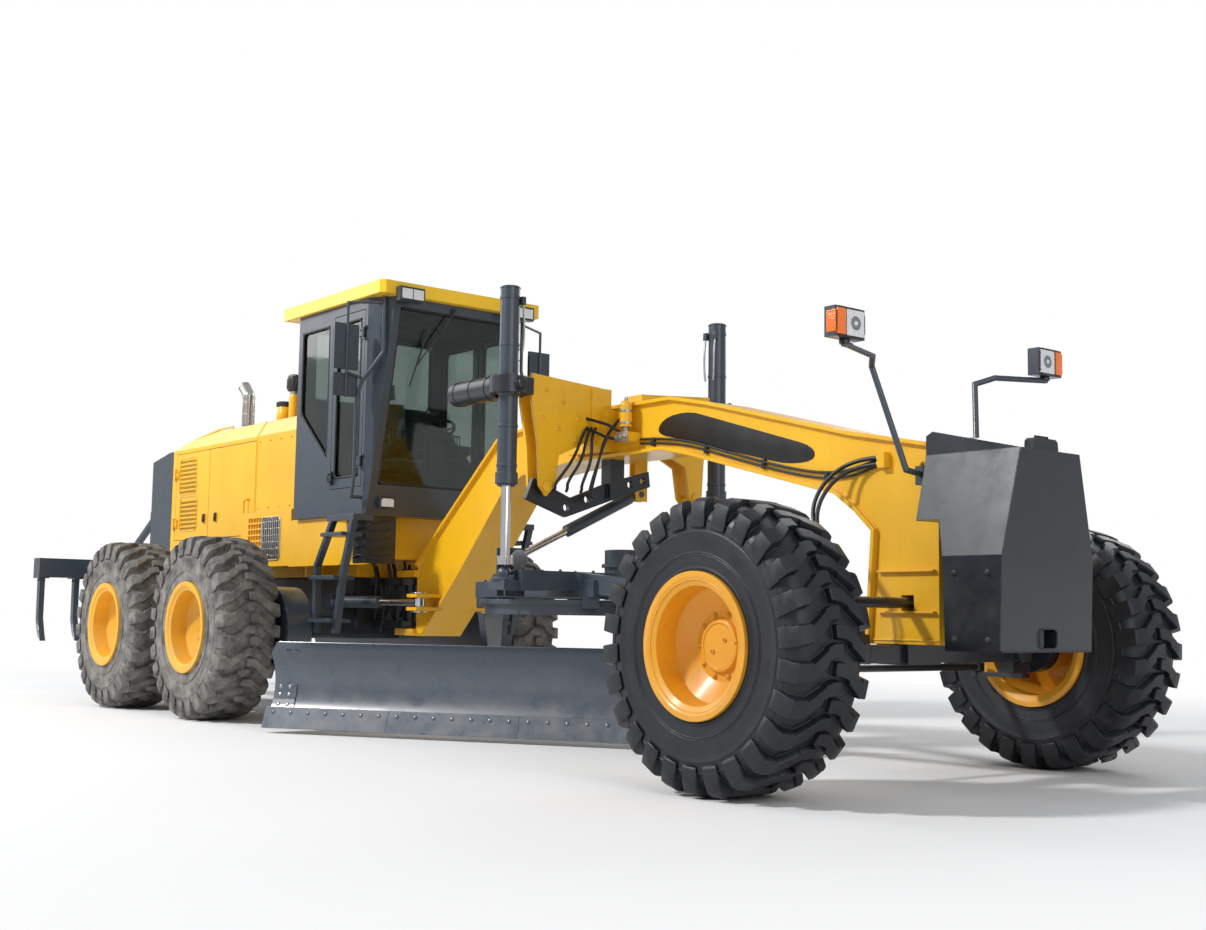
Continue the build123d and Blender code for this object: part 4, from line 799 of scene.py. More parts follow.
# lift cylinder balls and their caps on the drawbar
caps = {"circle": 0.076, "bolts": 8, "boltZ": 1.2085, "beamX": (1.66, 1.86, 2.06, 2.42, 2.86), "beamY": 0.463,
        "plateX": (2.585, 2.795), "plateY": (0.30, 0.60, 0.85)}
bm = bmesh.new()
for side in (-1, 1):
    centre = (lift["x"], side * lift["y"], 0)
    addLathe(bm, [(0.0, 1.178), (0.088, 1.178), (0.092, 1.182), (0.092, 1.194), (0.080, 1.206),
                  (0.052, 1.214),
                  (0.049, 1.216), (0.0, 1.216)], centre, toTop, 40)
    for spot, a in ringSpots(caps["bolts"], caps["circle"], (*centre[:2], caps["boltZ"]), "xy", 0.39):
        addBolt(bm, spot, toTop, 0.008, a)
    for x in caps["beamX"]:
        addBolt(bm, (x, side * caps["beamY"], 1.190), toTop, 0.013, x * 3)
    for x in caps["plateX"]:
        for y in caps["plateY"]:
            addBolt(bm, (x, side * y, 1.250), toTop, 0.012, x * y)
piece("drawbarBolts", bm, "slate", "drawbar")

# pinion housing: bolted flange and cover on the drawbar's middle
pinion = {"x": 2.760, "flange": (0.128, 0.152), "flangeZ": (1.292, 1.312), "circle": 0.142}
bm = bmesh.new()
(inner, outer), (low, high) = pinion["flange"], pinion["flangeZ"]
addBand(bm, [(inner, low), (outer, low), (outer, high), (inner, high)], (pinion["x"], 0, 0), toTop, 48)
for spot, a in ringSpots(12, pinion["circle"], (pinion["x"], 0, high)):
    addBolt(bm, spot, toTop, 0.007, a)
addLathe(bm, [(0.129, 1.40), (0.131, 1.42), (0.110, 1.4235), (0.105, 1.4245), (0, 1.4245)],
         (pinion["x"], 0, 0),
         toTop,
         48)
piece("pinionFlange", bm, "slate", "drawbar")
print("drawbar dressed")

# blade: bolt heads of the cutting edge
blade = {"centre": (2.290, 0.0), "turn": 31.7, "shift": -0.300, "length": 4.270, "reach": 0.511,
         "boltPitch": 0.1525}
bladeTurn = math.radians(blade["turn"])
ends = (blade["shift"] - blade["length"] / 2, blade["shift"] + blade["length"] / 2)


def bladeSpot(along, inward, height):
    # A point in the blade's own directions: along it, back from its foremost line, up
    across = inward - blade["reach"]
    c, w = math.cos(bladeTurn), math.sin(bladeTurn)
    return Vector((blade["centre"][0] + along * c - across * w, blade["centre"][1] + along * w + across * c,
                   height))


bladeOut = bladeSpot(0, -1, 0) - bladeSpot(0, 0, 0)
edgeSlope = bladeOut * 0.940 + Vector((0, 0, 0.341))
bm = bmesh.new()
for k in range(int(blade["length"] / blade["boltPitch"])):
    addLathe(bm, [(0.0, 0.0055), (0.011, 0.0055), (0.016, 0.003), (0.018, -0.004), (0, -0.004)],
             bladeSpot(ends[0] + blade["boltPitch"] * (k + 0.5), 0.0215, 0.160), edgeSlope, 16)
piece("edgeBolts", bm, "blade", "moldboard")

# cab windows: rubber seals that follow the cut openings
cab = {"footX": 0.310, "headX": 0.490, "footZ": 1.760, "headZ": 3.600, "half": 0.780, "rearX": -0.950,
       "seal": 0.011,
       "screen": ((-0.662, 2.018), (0.662, 2.018), (0.573, 3.512), (-0.573, 3.512)),
       "quarter": ((-0.872, 2.705), (-0.872, 3.442), (-0.378, 3.442), (-0.378, 2.282))}


def screenX(z):
    return cab["footX"] + (cab["headX"] - cab["footX"]) * (z - cab["footZ"]) / (cab["headZ"] - cab["footZ"])


bm = bmesh.new()
addLoop(bm, [(screenX(z) - 0.010, y, z) for y, z in cab["screen"]], cab["seal"])
addFrame(bm, lambda z, y: (cab["rearX"] + 0.006, y, z), (2.868, 3.492), (-0.612, 0.612), cab["seal"])
for side in (-1, 1):
    addLoop(bm, [(x, side * (cab["half"] - 0.006), z) for x, z in cab["quarter"]], cab["seal"])
piece("cabSeals", bm, "seal", "rear_frame", 50)
door = {"glass": ((-0.222, 0.178), (2.088, 3.432)), "leaf": ((-0.281, 0.237), (1.999, 3.501)),
        "handleX": -0.252,
        "handle": ((0.801, 2.052), (0.822, 2.058), (0.826, 2.09), (0.822, 2.122), (0.801, 2.128)),
        "strapZ": (2.20, 3.30), "strapX": (0.185, 0.215)}
for side, hand in hands:
    bm = bmesh.new()
    addFrame(bm, lambda x, z: (x, side * (cab["half"] - 0.004), z), *door["glass"], cab["seal"])
    addFrame(bm, lambda x, z: (x, side * (cab["half"] - 0.008), z), *door["leaf"], 0.006)
    piece(f"doorSeals_{hand}", bm, "seal", f"cab_door_{hand}", 50)
    # handle with its lock plate, and bolts on the hinge straps
    bm = bmesh.new()
    addPlate(bm, (door["handleX"], side * 0.790, 2.09), (0.020, 0.012, 0.055))
    addRope(bm, [(door["handleX"], side * y, z) for y, z in door["handle"]], 0.007)
    for z in door["strapZ"]:
        for x in door["strapX"]:
            for dz in (-0.028, 0.028):
                addBolt(bm, (x, side * 0.797, z + dz), (0, side, 0), 0.006, z)
    piece(f"doorHandle_{hand}", bm, "black", f"cab_door_{hand}")
print("cab seals made")

# wiper: pivot, then the runs of arm, blade and bridge: across, height, distance from the screen
wiper = {"pivot": (-0.06, 3.545, -0.004),
         "runs": (([(-0.06, 3.545, 0.024), (-0.16, 3.39, 0.030), (-0.40, 3.03, 0.016)], 0.0065),
                  ([(-0.30, 3.36, 0.004), (-0.37, 3.11, 0.010), (-0.44, 2.86, 0.004)], 0.0075),
                  ([(-0.335, 3.235, 0.006), (-0.37, 3.12, 0.018), (-0.405, 2.985, 0.006)], 0.004))}


def onScreen(y, z, proud):
    return Vector((screenX(z) + proud, y, z))


bm = bmesh.new()
addPuck(bm, onScreen(*wiper["pivot"]), (1, 0, 0.1), 0.024, 0.026, 24)
for run, radius in wiper["runs"]:
    addRope(bm, [onScreen(*p) for p in run], radius)
piece("wiper", bm, "black", "rear_frame")

roofRail = {"z": 3.604, "radius": 0.007, "corners": ((-1.165, -0.812), (0.530, -0.812), (0.566, -0.776),
                                                     (0.566, 0.776),
                                                     (0.530, 0.812), (-1.165, 0.812))}
bm = bmesh.new()
addLoop(bm, [(x, y, roofRail["z"]) for x, y in roofRail["corners"]], roofRail["radius"], 10)
# the drip rail takes the roof yellow lightened as painted sunlight
piece("roofDripRail", bm, "roof", "rear_frame")

# headliner, rear wall lining and floor mat
lining = {"ceiling": [(-0.895, -0.725), (0.28, -0.725), (0.42, -0.58), (0.42, 0.58), (0.28, 0.725),
                      (-0.895, 0.725)],
          "ceilingZ": (3.545, 3.590), "wall": ((-0.893, -0.720, 1.815), (-0.880, 0.720, 2.840)),
          "mat": [(-0.88, -0.72), (0.235, -0.72), (0.255, -0.68), (0.255, 0.68), (0.235, 0.72),
                  (-0.88, 0.72)],
          "matZ": (1.820, 1.832)}
bm = bmesh.new()
addPrism(bm, lining["ceiling"], *lining["ceilingZ"], "z", 0.006)
addBlock(bm, *lining["wall"])
addPrism(bm, lining["mat"], *lining["matZ"], "z", 0.003)
piece("cabLiningPanels", bm, "lining", "rear_frame")
print("cab trim made")

# operator's seat: padded cushion, back and headrest on a sprung base
seat = {"x": -0.400, "cushion": (0.50, 0.50, 0.100), "cushionZ": 2.255, "back": (0.095, 0.46, 0.60),
        "backLean": 11.0,
        "head": (0.075, 0.27,
                 0.17), "voxel": 0.011, "puff": 0.018, "channel": 0.011, "pressure": 4.0, "frames": 20}


def swell(obj):
    # Cloth pressure swells the form by no more than the puff
    rest = obj.data
    cloth = obj.modifiers.new("pad", "CLOTH")
    cloth.settings.quality = 5
    cloth.settings.use_pressure = True
    cloth.settings.uniform_pressure_force = seat["pressure"]
    cloth.settings.effector_weights.gravity = 0.0
    cloth.settings.tension_stiffness = 40.0
    cloth.point_cache.frame_end = seat["frames"]
    for step in range(1, seat["frames"] + 1):
        bpy.context.scene.frame_set(step)
    swollen = bpy.data.meshes.new_from_object(obj.evaluated_get(bpy.context.evaluated_depsgraph_get()))
    obj.modifiers.clear()
    for v, w in zip(rest.vertices, swollen.vertices):
        shift = w.co - v.co
        if shift.length > seat["puff"]:
            shift *= seat["puff"] / shift.length
        v.co = v.co + shift
    bpy.context.scene.frame_set(1)


def padForm(name, size, place, channels):
    # Rounded block with sewn channels
    bm = bmesh.new()
    addBlock(bm, tuple(-v / 2 + seat["puff"] * 0.5 for v in size),
             tuple(v / 2 - seat["puff"] * 0.5 for v in size),
             min(size) * 0.30)
    mesh = bpy.data.meshes.new(name)
    bm.to_mesh(mesh)
    bm.free()
    obj = addObject(name, mesh)
    bpy.context.view_layer.objects.active = obj
    remesh = obj.modifiers.new("voxels", "REMESH")
    remesh.mode = "VOXEL"
    remesh.voxel_size = seat["voxel"]
    bpy.context.view_layer.update()
    rest = bpy.data.meshes.new_from_object(obj.evaluated_get(bpy.context.evaluated_depsgraph_get()))
    obj.modifiers.clear()
    obj.data = rest
    swell(obj)
    # channels: axis across them and their places, then the axis and side that is sat on
    axisIndex, spots, faceAxis, faceWay = channels
    for v in rest.vertices:
        depth = max([math.exp(-((v.co[axisIndex] - spot) / seat["channel"]) ** 2) for spot in spots] or [0])
        if v.co[faceAxis] * faceWay > size[faceAxis] * 0.2:
            v.co[faceAxis] -= faceWay * depth * seat["channel"]
    for f in rest.polygons:
        f.use_smooth = True
    rest.materials.clear()
    soften = obj.modifiers.new("soften", "SUBSURF")
    soften.render_levels = soften.levels = 1
    obj.matrix_world = place
    dress(obj, "seatCloth", "rear_frame")


backPlace = (Matrix.Translation((seat["x"] - 0.235, 0,
                                 2.31)) @ Matrix.Rotation(-math.radians(seat["backLean"]), 4,
                                                                                "Y")
             @ Matrix.Translation((0, 0, seat["back"][2] / 2)))
padForm("seatCushion", seat["cushion"], Matrix.Translation((seat["x"], 0, seat["cushionZ"])),
        (1, (-0.14, 0.14), 2, 1))
padForm("seatBack", seat["back"], backPlace, (2, (-0.16, 0.0, 0.16), 0, 1))
padForm("seatHeadrest", seat["head"], backPlace @ Matrix.Translation((-0.004, 0, 0.395)), (1, (), 0, 1))

base = {"pan": ((-0.625, -0.215, 2.175), (-0.190, 0.215, 2.212)),
        "foot": ((-0.600, -0.185, 1.832), (-0.240, 0.185, 1.905)),
        "folds": 7, "foldPitch": 0.0385, "foldZ": 1.905}
bm = bmesh.new()
addBlock(bm, *base["pan"], 0.012)
addBlock(bm, *base["foot"], 0.010)
for k in range(base["folds"]):      # folds of the dust bellows
    z = base["foldZ"] + base["foldPitch"] * k
    addBlock(bm, (-0.590 + 0.004 * (k % 2), -0.175, z), (-0.250 - 0.004 * (k % 2), 0.175, z + 0.036), 0.015)
addBlock(bm, (-0.014, -0.222, -0.30), (0.014, 0.222, 0.29), 0.012,
         backPlace @ Matrix.Translation((-0.062, 0, -0.01)))
for side in (-1, 1):
    addRope(bm, [backPlace @ Vector((-0.045, side * 0.06, 0.24)),
                 backPlace @ Vector((-0.030, side * 0.06, 0.36))],
            0.008)
    addPlate(bm, (-0.39, side * 0.285, 2.459), (0.17, 0.035, 0.019), 0.014)
    addRope(bm, [(-0.60, side * 0.235, 2.22), (-0.60, side * 0.275, 2.34), (-0.53, side * 0.285, 2.445)],
            0.015)
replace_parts(piece("seatBase", bm, "plastic", "rear_frame"), "operator_station")

# steering column, wheel, control pods and foot pedals
station = {"wheelRadius": 0.190, "wheelTilt": -25.0, "wheelPlace": (0.120, 0.0, 2.540), "podY": 0.30,
           "levers": 5,
           "leverPitch": 0.028, "pedalY": 0.20, "floorZ": 1.832}
bm = bmesh.new()
addPrism(bm, [(0.075, station["floorZ"]), (0.225, station["floorZ"]), (0.205, 2.20), (0.165, 2.465),
              (0.095, 2.465),
              (0.085, 2.20)], -0.085, 0.085, "y", 0.018)
addPrism(bm, [(0.060, 2.40), (0.215, 2.47), (0.190, 2.525), (0.050, 2.465)], -0.155, 0.155, "y", 0.014)
tilt = Matrix.Translation(station["wheelPlace"]) @ Matrix.Rotation(math.radians(station["wheelTilt"]), 4, "Y")
addRope(bm, [tilt @ spot for spot, a in ringSpots(48, station["wheelRadius"], (0, 0, 0))], 0.014, 10, True)
for spot, a in ringSpots(3, 1.0, (0, 0, 0), "xy", math.pi):
    addRope(bm, [tilt @ Vector((0, 0, -0.018)), tilt @ (spot * 0.09 - Vector((0, 0, 0.012))),
                 tilt @ (spot * 0.185)],
            0.009)
addPuck(bm, tilt @ Vector((0, 0, -0.04)), tilt.to_3x3() @ Vector(toTop), 0.045, 0.042, 28, 0.008)
for side in (-1, 1):
    pod, pedal = side * station["podY"], side * station["pedalY"]
    addPrism(bm, [(-0.02, 2.30), (0.17, 2.36), (0.16, 2.43), (-0.03, 2.38)], pod - 0.075, pod + 0.075, "y",
             0.012)
    addRope(bm, [(0.10, side * 0.16, 2.30), (0.10, pod, 2.33)], 0.022)
    for k in range(station["levers"]):
        y = pod + (k - 2) * station["leverPitch"]
        addRope(bm, [(0.03, y, 2.395), (0.005, y, 2.47), (0.000, y, 2.52)], 0.005)
        addLathe(bm, [(0, -0.014), (0.009, -0.010), (0.012, 0), (0.009, 0.010), (0, 0.014)], (0.0, y, 2.53),
                 toTop,
                 12)
    addPrism(bm, [(0.02, station["floorZ"]), (0.05, station["floorZ"]), (0.12, 1.93), (0.10, 1.94)],
             pedal - 0.04,
             pedal + 0.04, "y", 0.004)
# side console with its screen
addBlock(bm, (-0.60, -0.690, station["floorZ"]), (-0.10, -0.500, 2.330), 0.020)
addBlock(bm, (0.03, -0.640, 2.48), (0.07, -0.42, 2.64), 0.010)
addRope(bm, [(0.05, -0.53, 2.49), (0.05, -0.60, 2.30), (0.02, -0.66, 2.10), (0.02, -0.70, 2.00)], 0.012)
piece("controlStation", bm, "plastic", "rear_frame")
print("operator's station made")

# engine hood: latches, hinge bolts and a woven mesh over the grille windows
hood = {"half": 0.560, "latches": ((-3.348, 1.885), (-3.068, 1.885)), "hingeX": (-4.045, -4.075),
        "hingeZ": (1.85, 2.38), "grilles": ((-4.0, -3.6, 2.17, 2.54), (-3.96, -3.56, 1.78, 2.13)),
        "wire": 0.0032, "wires": (27, 22), "joints": (-2.18, -1.14), "joint": 0.005,
        "boltX": (-2.12, -1.90, -1.68, -1.46, -1.22), "boltZ": (1.93, 2.58), "pins": ((-2.335, 1.809),
                                                                                      (-2.335, 2.037)),
        "topEdge": ((-4.15, 2.66), (-4.0, 2.765), (-3.4, 2.83), (-3.1, 2.83), (-3.1, 2.79))}
for side, hand in hands:
    y = side * hood["half"]
    bm = bmesh.new()
    for x, z in hood["latches"]:
        addBlock(bm, (x - 0.024, y + side * 0.008, z - 0.046), (x + 0.024, y + side * 0.020, z + 0.046),
                 0.005)
        addBlock(bm, (x - 0.014, y + side * 0.018, z - 0.034), (x + 0.014, y + side * 0.027, z + 0.012))
        addPuck(bm, (x, y + side * 0.018, z + 0.028), (0, side, 0), 0.009, 0.006, 16)
    piece(f"hoodLatches_{hand}", bm, "black", f"engine_door_{hand}")
    bm, bmMesh = bmesh.new(), bmesh.new()
    for z in hood["hingeZ"]:
        for x in hood["hingeX"]:
            for dz in (-0.03, 0.03):
                addBolt(bm, (x, y + side * 0.016, z + dz), (0, side, 0), 0.006, z)
    for x, z in hood["pins"]:
        addPuck(bm, (x, y - side * 0.001, z), (0, side, 0), 0.022, 0.006, 20)
    for x0, x1, z0, z1 in hood["grilles"]:
        addFrame(bm, lambda x, z: (x, y + side * 0.002, z), (x0 - 0.012, x1 + 0.012),
                 (z0 - 0.012, z1 + 0.004), 0.006)
        upright, level = y - side * 0.004, y - side * 0.007
        for k in range(hood["wires"][0]):
            x = x0 + (x1 - x0) * (k + 0.5) / hood["wires"][0]
            addRope(bmMesh, [(x, upright, z0 - 0.004), (x, upright, z1 + 0.002)], hood["wire"], 4)
        for k in range(hood["wires"][1]):
            z = z0 + (z1 - z0) * (k + 0.5) / hood["wires"][1]
            addRope(bmMesh, [(x0 - 0.004, level, z), (x1 + 0.004, level, z)], hood["wire"], 4)
    piece(f"hoodDoorTrim_{hand}", bm, "yellow", f"engine_door_{hand}")
    piece(f"grilleMesh_{hand}", bmMesh, "yellow", f"engine_door_{hand}")

# panel joints, bolts and the edge of the hood's top
bm = bmesh.new()
for side in (-1, 1):
    y = side * hood["half"]
    for x in hood["joints"]:
        addRope(bm, [(x, y + side * 0.0005, 1.26), (x, y + side * 0.0005, 2.635)], hood["joint"], 6)
        addRope(bm, [(x, side * 0.558, 2.645), (x, side * 0.472, 2.789)], hood["joint"], 6)
    for x in hood["boltX"]:
        for z in hood["boltZ"]:
            addBolt(bm, (x, y, z), (0, side, 0), 0.009, x * 7)
    addRope(bm, [(x, side * 0.40, z) for x, z in hood["topEdge"]], 0.013)
for x in hood["joints"]:
    addRope(bm, [(x, -0.470, 2.7905), (x, 0.470, 2.7905)], hood["joint"], 6)
piece("hoodJoints", bm, "yellow", "rear_frame", 60)
print("engine house dressed")

# exhaust with its clamps, slotted shield and bent outlet lip
exhaust = {"place": (-2.960, -0.300), "bands": ((2.80, 0.014), (2.95, 0.004), (3.07, 0.004), (3.13, 0.007)),
           "slots": 18, "slotZ": 2.83, "slotLength": 0.22, "outlet": (-3.080, -0.300, 3.260), "aim": (-0.120,
                                                                                                      0,
                                                                                                      0.110)}
bm = bmesh.new()
for z, grow in exhaust["bands"]:
    addBand(bm, [(0.0595, -0.012), (0.060 + grow, -0.010), (0.060 + grow, 0.010), (0.0595, 0.012)],
            (*exhaust["place"], z), toTop)
for spot, a in ringSpots(exhaust["slots"], 0.0605, (*exhaust["place"], exhaust["slotZ"])):
    addRope(bm, [spot, spot + Vector((0, 0, exhaust["slotLength"]))], 0.0035, 6)
addBand(bm, [(0.0605, -0.030), (0.0640, -0.028), (0.0640, -0.004), (0.0605, 0.0)], exhaust["outlet"],
        exhaust["aim"])
addLathe(bm, [(0.052, 0.001), (0.050, 0.001), (0.046, 0.0015), (0, 0.0015)], exhaust["outlet"],
         exhaust["aim"], 40)
piece("exhaustTrim", bm, "stainless", "rear_frame")

# air pre-cleaner with its vanes, and the filler's ribbed cap; both on yellow necks
cleaner = {"centre": (-1.950, -0.300, 0), "vanes": 16, "vaneZ": (3.115, 3.20), "twist": 0.15}
filler = {"centre": (-2.150, -0.300, 0), "ribs": 20, "ribZ": (2.956, 2.990)}
bm = bmesh.new()
addLathe(bm, [(0, 3.085), (0.060, 3.085), (0.074, 3.100), (0.076, 3.125), (0.076, 3.200), (0.070, 3.232),
              (0.050, 3.250), (0, 3.254)], cleaner["centre"], toTop, 44)
feet, heads = (ringSpots(cleaner["vanes"], 0.076, (*cleaner["centre"][:2], z), "xy", turn)
               for z, turn in zip(cleaner["vaneZ"], (0.0, cleaner["twist"])))
for (foot, a), (head, b) in zip(feet, heads):
    addRope(bm, [foot, head], 0.004, 6)
addBand(bm, [(0.0445, 2.79), (0.060, 2.79), (0.060, 2.81), (0.0445, 2.815)], cleaner["centre"], toTop)
addLathe(bm, [(0, 2.950), (0.079, 2.950), (0.080, 2.956), (0.080, 2.992), (0.074, 3.000), (0.030, 3.004),
              (0, 3.004)],
         filler["centre"], toTop, 40)
low, high = filler["ribZ"]
for spot, a in ringSpots(filler["ribs"], 0.080, (*filler["centre"][:2], low)):
    addRope(bm, [spot, spot + Vector((0, 0, high - low))], 0.003, 5)
piece("cleanerCap", bm, "black", "rear_frame")
bm = bmesh.new()
addBand(bm, [(0.0455, 2.795), (0.052, 2.80), (0.052, 3.02), (0.048, 3.05), (0.0455, 3.055)],
        cleaner["centre"], toTop)
addBand(bm, [(0.0745, 2.792), (0.0765, 2.795), (0.0765, 2.945), (0.0745, 2.948)], filler["centre"], toTop)
piece("fillerNecks", bm, "yellow", "rear_frame")
print("stacks dressed")

# head lamps: white reflector inside, amber corner outside
headLamp = {"x": 5.770, "y": 0.930, "z": 2.560, "deep": 0.040, "high": 0.073, "fins": 5, "finPitch": 0.026}
bmClear, bmAmber, bmBody = bmesh.new(), bmesh.new(), bmesh.new()
for side in (-1, 1):
    x, y = headLamp["x"], side * headLamp["y"]
    face = x + headLamp["deep"]
    inner, split, outer = y - side * 0.108, y + side * 0.040, y + side * 0.112
    z0, z1 = headLamp["z"] - headLamp["high"], headLamp["z"] + headLamp["high"]
    addBlock(bmClear, (face - 0.004, inner, z0), (face + 0.010, split - side * 0.004, z1), 0.008)
    addBlock(bmAmber, (face - 0.006, split + side * 0.004, z0), (face + 0.014, outer, z1), 0.010)
    addBlock(bmAmber, (face - 0.062, outer, z0 + 0.012), (face + 0.006, outer + side * 0.014, z1 - 0.012),
             0.006)
    addFrame(bmBody, lambda y, z: (face + 0.001, y, z), (inner - side * 0.006, outer + side * 0.004),
             (z0 - 0.006, z1 + 0.006), 0.007)
    addRope(bmBody, [(face + 0.006, split, z0), (face + 0.006, split, z1)], 0.005, 8)
    for k in range(headLamp["fins"]):      # cooling fins on the back
        addPlate(bmBody, (x - 0.047, y, z0 + 0.021 + k * headLamp["finPitch"]), (0.009, 0.09, 0.003), 0.002)
    addPuck(bmBody, (x, y, headLamp["z"] - 0.112), toTop, 0.030, 0.028, 24)
    addBolt(bmBody, (x, y + side * 0.030, headLamp["z"] - 0.099), (0, side, 0), 0.009)
    addLathe(bmClear, [(0.050, 0.0), (0.052, 0.005), (0.047, 0.006), (0.040, 0.004), (0.014, 0.004),
                       (0.011, 0.009),
                       (0, 0.010)], (face + 0.006, y - side * 0.038, headLamp["z"]), toFront, 40)
piece("headLampLenses", bmClear, "clear", "front_frame")
piece("cornerLenses", bmAmber, "amber", "front_frame")
piece("headLampBodies", bmBody, "black", "front_frame")

# roof and foot lamps of the cab
roofLamp = {"x": 0.651, "y": (0.456, 0.684), "z": (3.548, 3.652)}
footLamp = {"z": (1.825, 1.895), "y": (0.530, 0.650), "lip": 0.006}
bmClear, bmBody = bmesh.new(), bmesh.new()
for side in (-1, 1):
    (y0, y1), (z0, z1) = roofLamp["y"], roofLamp["z"]
    addBlock(bmClear, (roofLamp["x"] - 0.003, side * (y0 + 0.009), z0 + 0.009),
             (roofLamp["x"] + 0.007, side * (y1 - 0.009), z1 - 0.009), 0.006)
    addFrame(bmBody, lambda y, z: (roofLamp["x"], side * y, z), (y0, y1), (z0, z1), 0.006)
    addRope(bmBody, [(roofLamp["x"] + 0.006, side * 0.57, z0 + 0.004),
                     (roofLamp["x"] + 0.006, side * 0.57, z1 - 0.004)],
            0.004, 6)
    low, high = screenX(1.83) + 0.043, screenX(1.89) + 0.049
    (y0, y1), (z0, z1), lip = footLamp["y"], footLamp["z"], footLamp["lip"]
    addBlock(bmClear, (low, side * y0, z0), (high + 0.004, side * y1, z1), 0.005)
    addLoop(bmBody, [(low + 0.003, side * (y0 - lip), z0 - lip), (high + 0.003, side * (y0 - lip), z1 + lip),
                     (high + 0.003, side * (y1 + lip), z1 + lip), (low + 0.003, side * (y1 + lip),
                                                                   z0 - lip)], 0.005)
piece("cabLampLenses", bmClear, "clear", "rear_frame")
piece("cabLampFrames", bmBody, "black", "rear_frame")
print("lamps made")

# mirrors: silvered face towards the rear, with a rubber lip
mirror = {"x": 0.2985, "y": (0.901, 1.099), "lipY": (0.890, 1.110),
          "heights": ((2.955, 3.340), (2.730, 2.920))}
bmGlass, bmLip = bmesh.new(), bmesh.new()
for side in (-1, 1):
    for z0, z1 in mirror["heights"]:
        addBlock(bmGlass, (mirror["x"] - 0.002, side * mirror["y"][0], z0 + 0.016),
                 (mirror["x"] + 0.002, side * mirror["y"][1], z1 - 0.016), 0.0015)
        addFrame(bmLip, lambda y, z: (mirror["x"] + 0.001, side * y, z), mirror["lipY"],
                 (z0 + 0.008, z1 - 0.008),
                 0.006)
piece("mirrorFaces", bmGlass, "chrome", "rear_frame")
piece("mirrorLips", bmLip, "seal", "rear_frame")
print("mirrors dressed")

# light metal mesh over the side box's louvres, a black sheet behind it as painted shade in the openings, and black
# covers under the cab's front corner
sideBox = {"louvreX": (-1.690, -1.330), "louvreZ": (1.42, 1.80), "face": 0.716, "louvres": 9, "bars": 6,
           "coverX": (0.075, 0.2765), "coverZ": (1.350,
                                                 1.755), "coverFace": 0.7345, "lines": 5, "linePitch": 0.075}
bm, bmDark = bmesh.new(), bmesh.new()
for side in (-1, 1):
    (x0, x1), (z0, z1), y = sideBox["louvreX"], sideBox["louvreZ"], side * sideBox["face"]
    for k in range(sideBox["louvres"]):
        x = x0 + (x1 - x0) * (k + 0.5) / sideBox["louvres"]
        addBlock(bm, (x - 0.009, y, z0), (x + 0.009, y + side * 0.007, z1), 0.003)
    for k in range(sideBox["bars"]):
        z = z0 + (z1 - z0) * (k + 0.5) / sideBox["bars"]
        addRope(bm, [(x0, y + side * 0.002, z), (x1, y + side * 0.002, z)], 0.004, 6)
    addFrame(bm, lambda x, z: (x, y + side * 0.003, z), (x0 - 0.01, x1 + 0.01), (z0 - 0.01, z1 + 0.01), 0.007)
    # a black sheet behind the louvres: painted shade in their openings
    addBlock(bmDark, (x0, min(y, y - side * 0.0025), z0), (x1, max(y + side * 0.0008, y), z1), 0.0006)
    (x0, x1), (z0, z1), y = sideBox["coverX"], sideBox["coverZ"], side * sideBox["coverFace"]
    addBlock(bmDark, (x0, y, z0), (x1, y + side * 0.004, z1), 0.0015)
    addBlock(bmDark, (x1 - 0.0015, side * 0.445, z0), (x1 + 0.0025, y, z1), 0.0015)
    for k in range(sideBox["lines"]):
        z = z0 + 0.05 + sideBox["linePitch"] * k
        addRope(bmDark, [(x0 + 0.02, y + side * 0.012, z), (x0 + 0.10, y + side * 0.016, z + 0.02),
                         (x1 + 0.008, y + side * 0.002, z + 0.01), (x1 + 0.016, y - side * 0.08, z - 0.01),
                         (x1 + 0.013, side * 0.50, z + 0.015)], 0.008)
piece("sideGrilles", bm, "stainless", "rear_frame")
piece("cornerCoversAndLouvreShade", bmDark, "black", "rear_frame")
print("side grilles made")

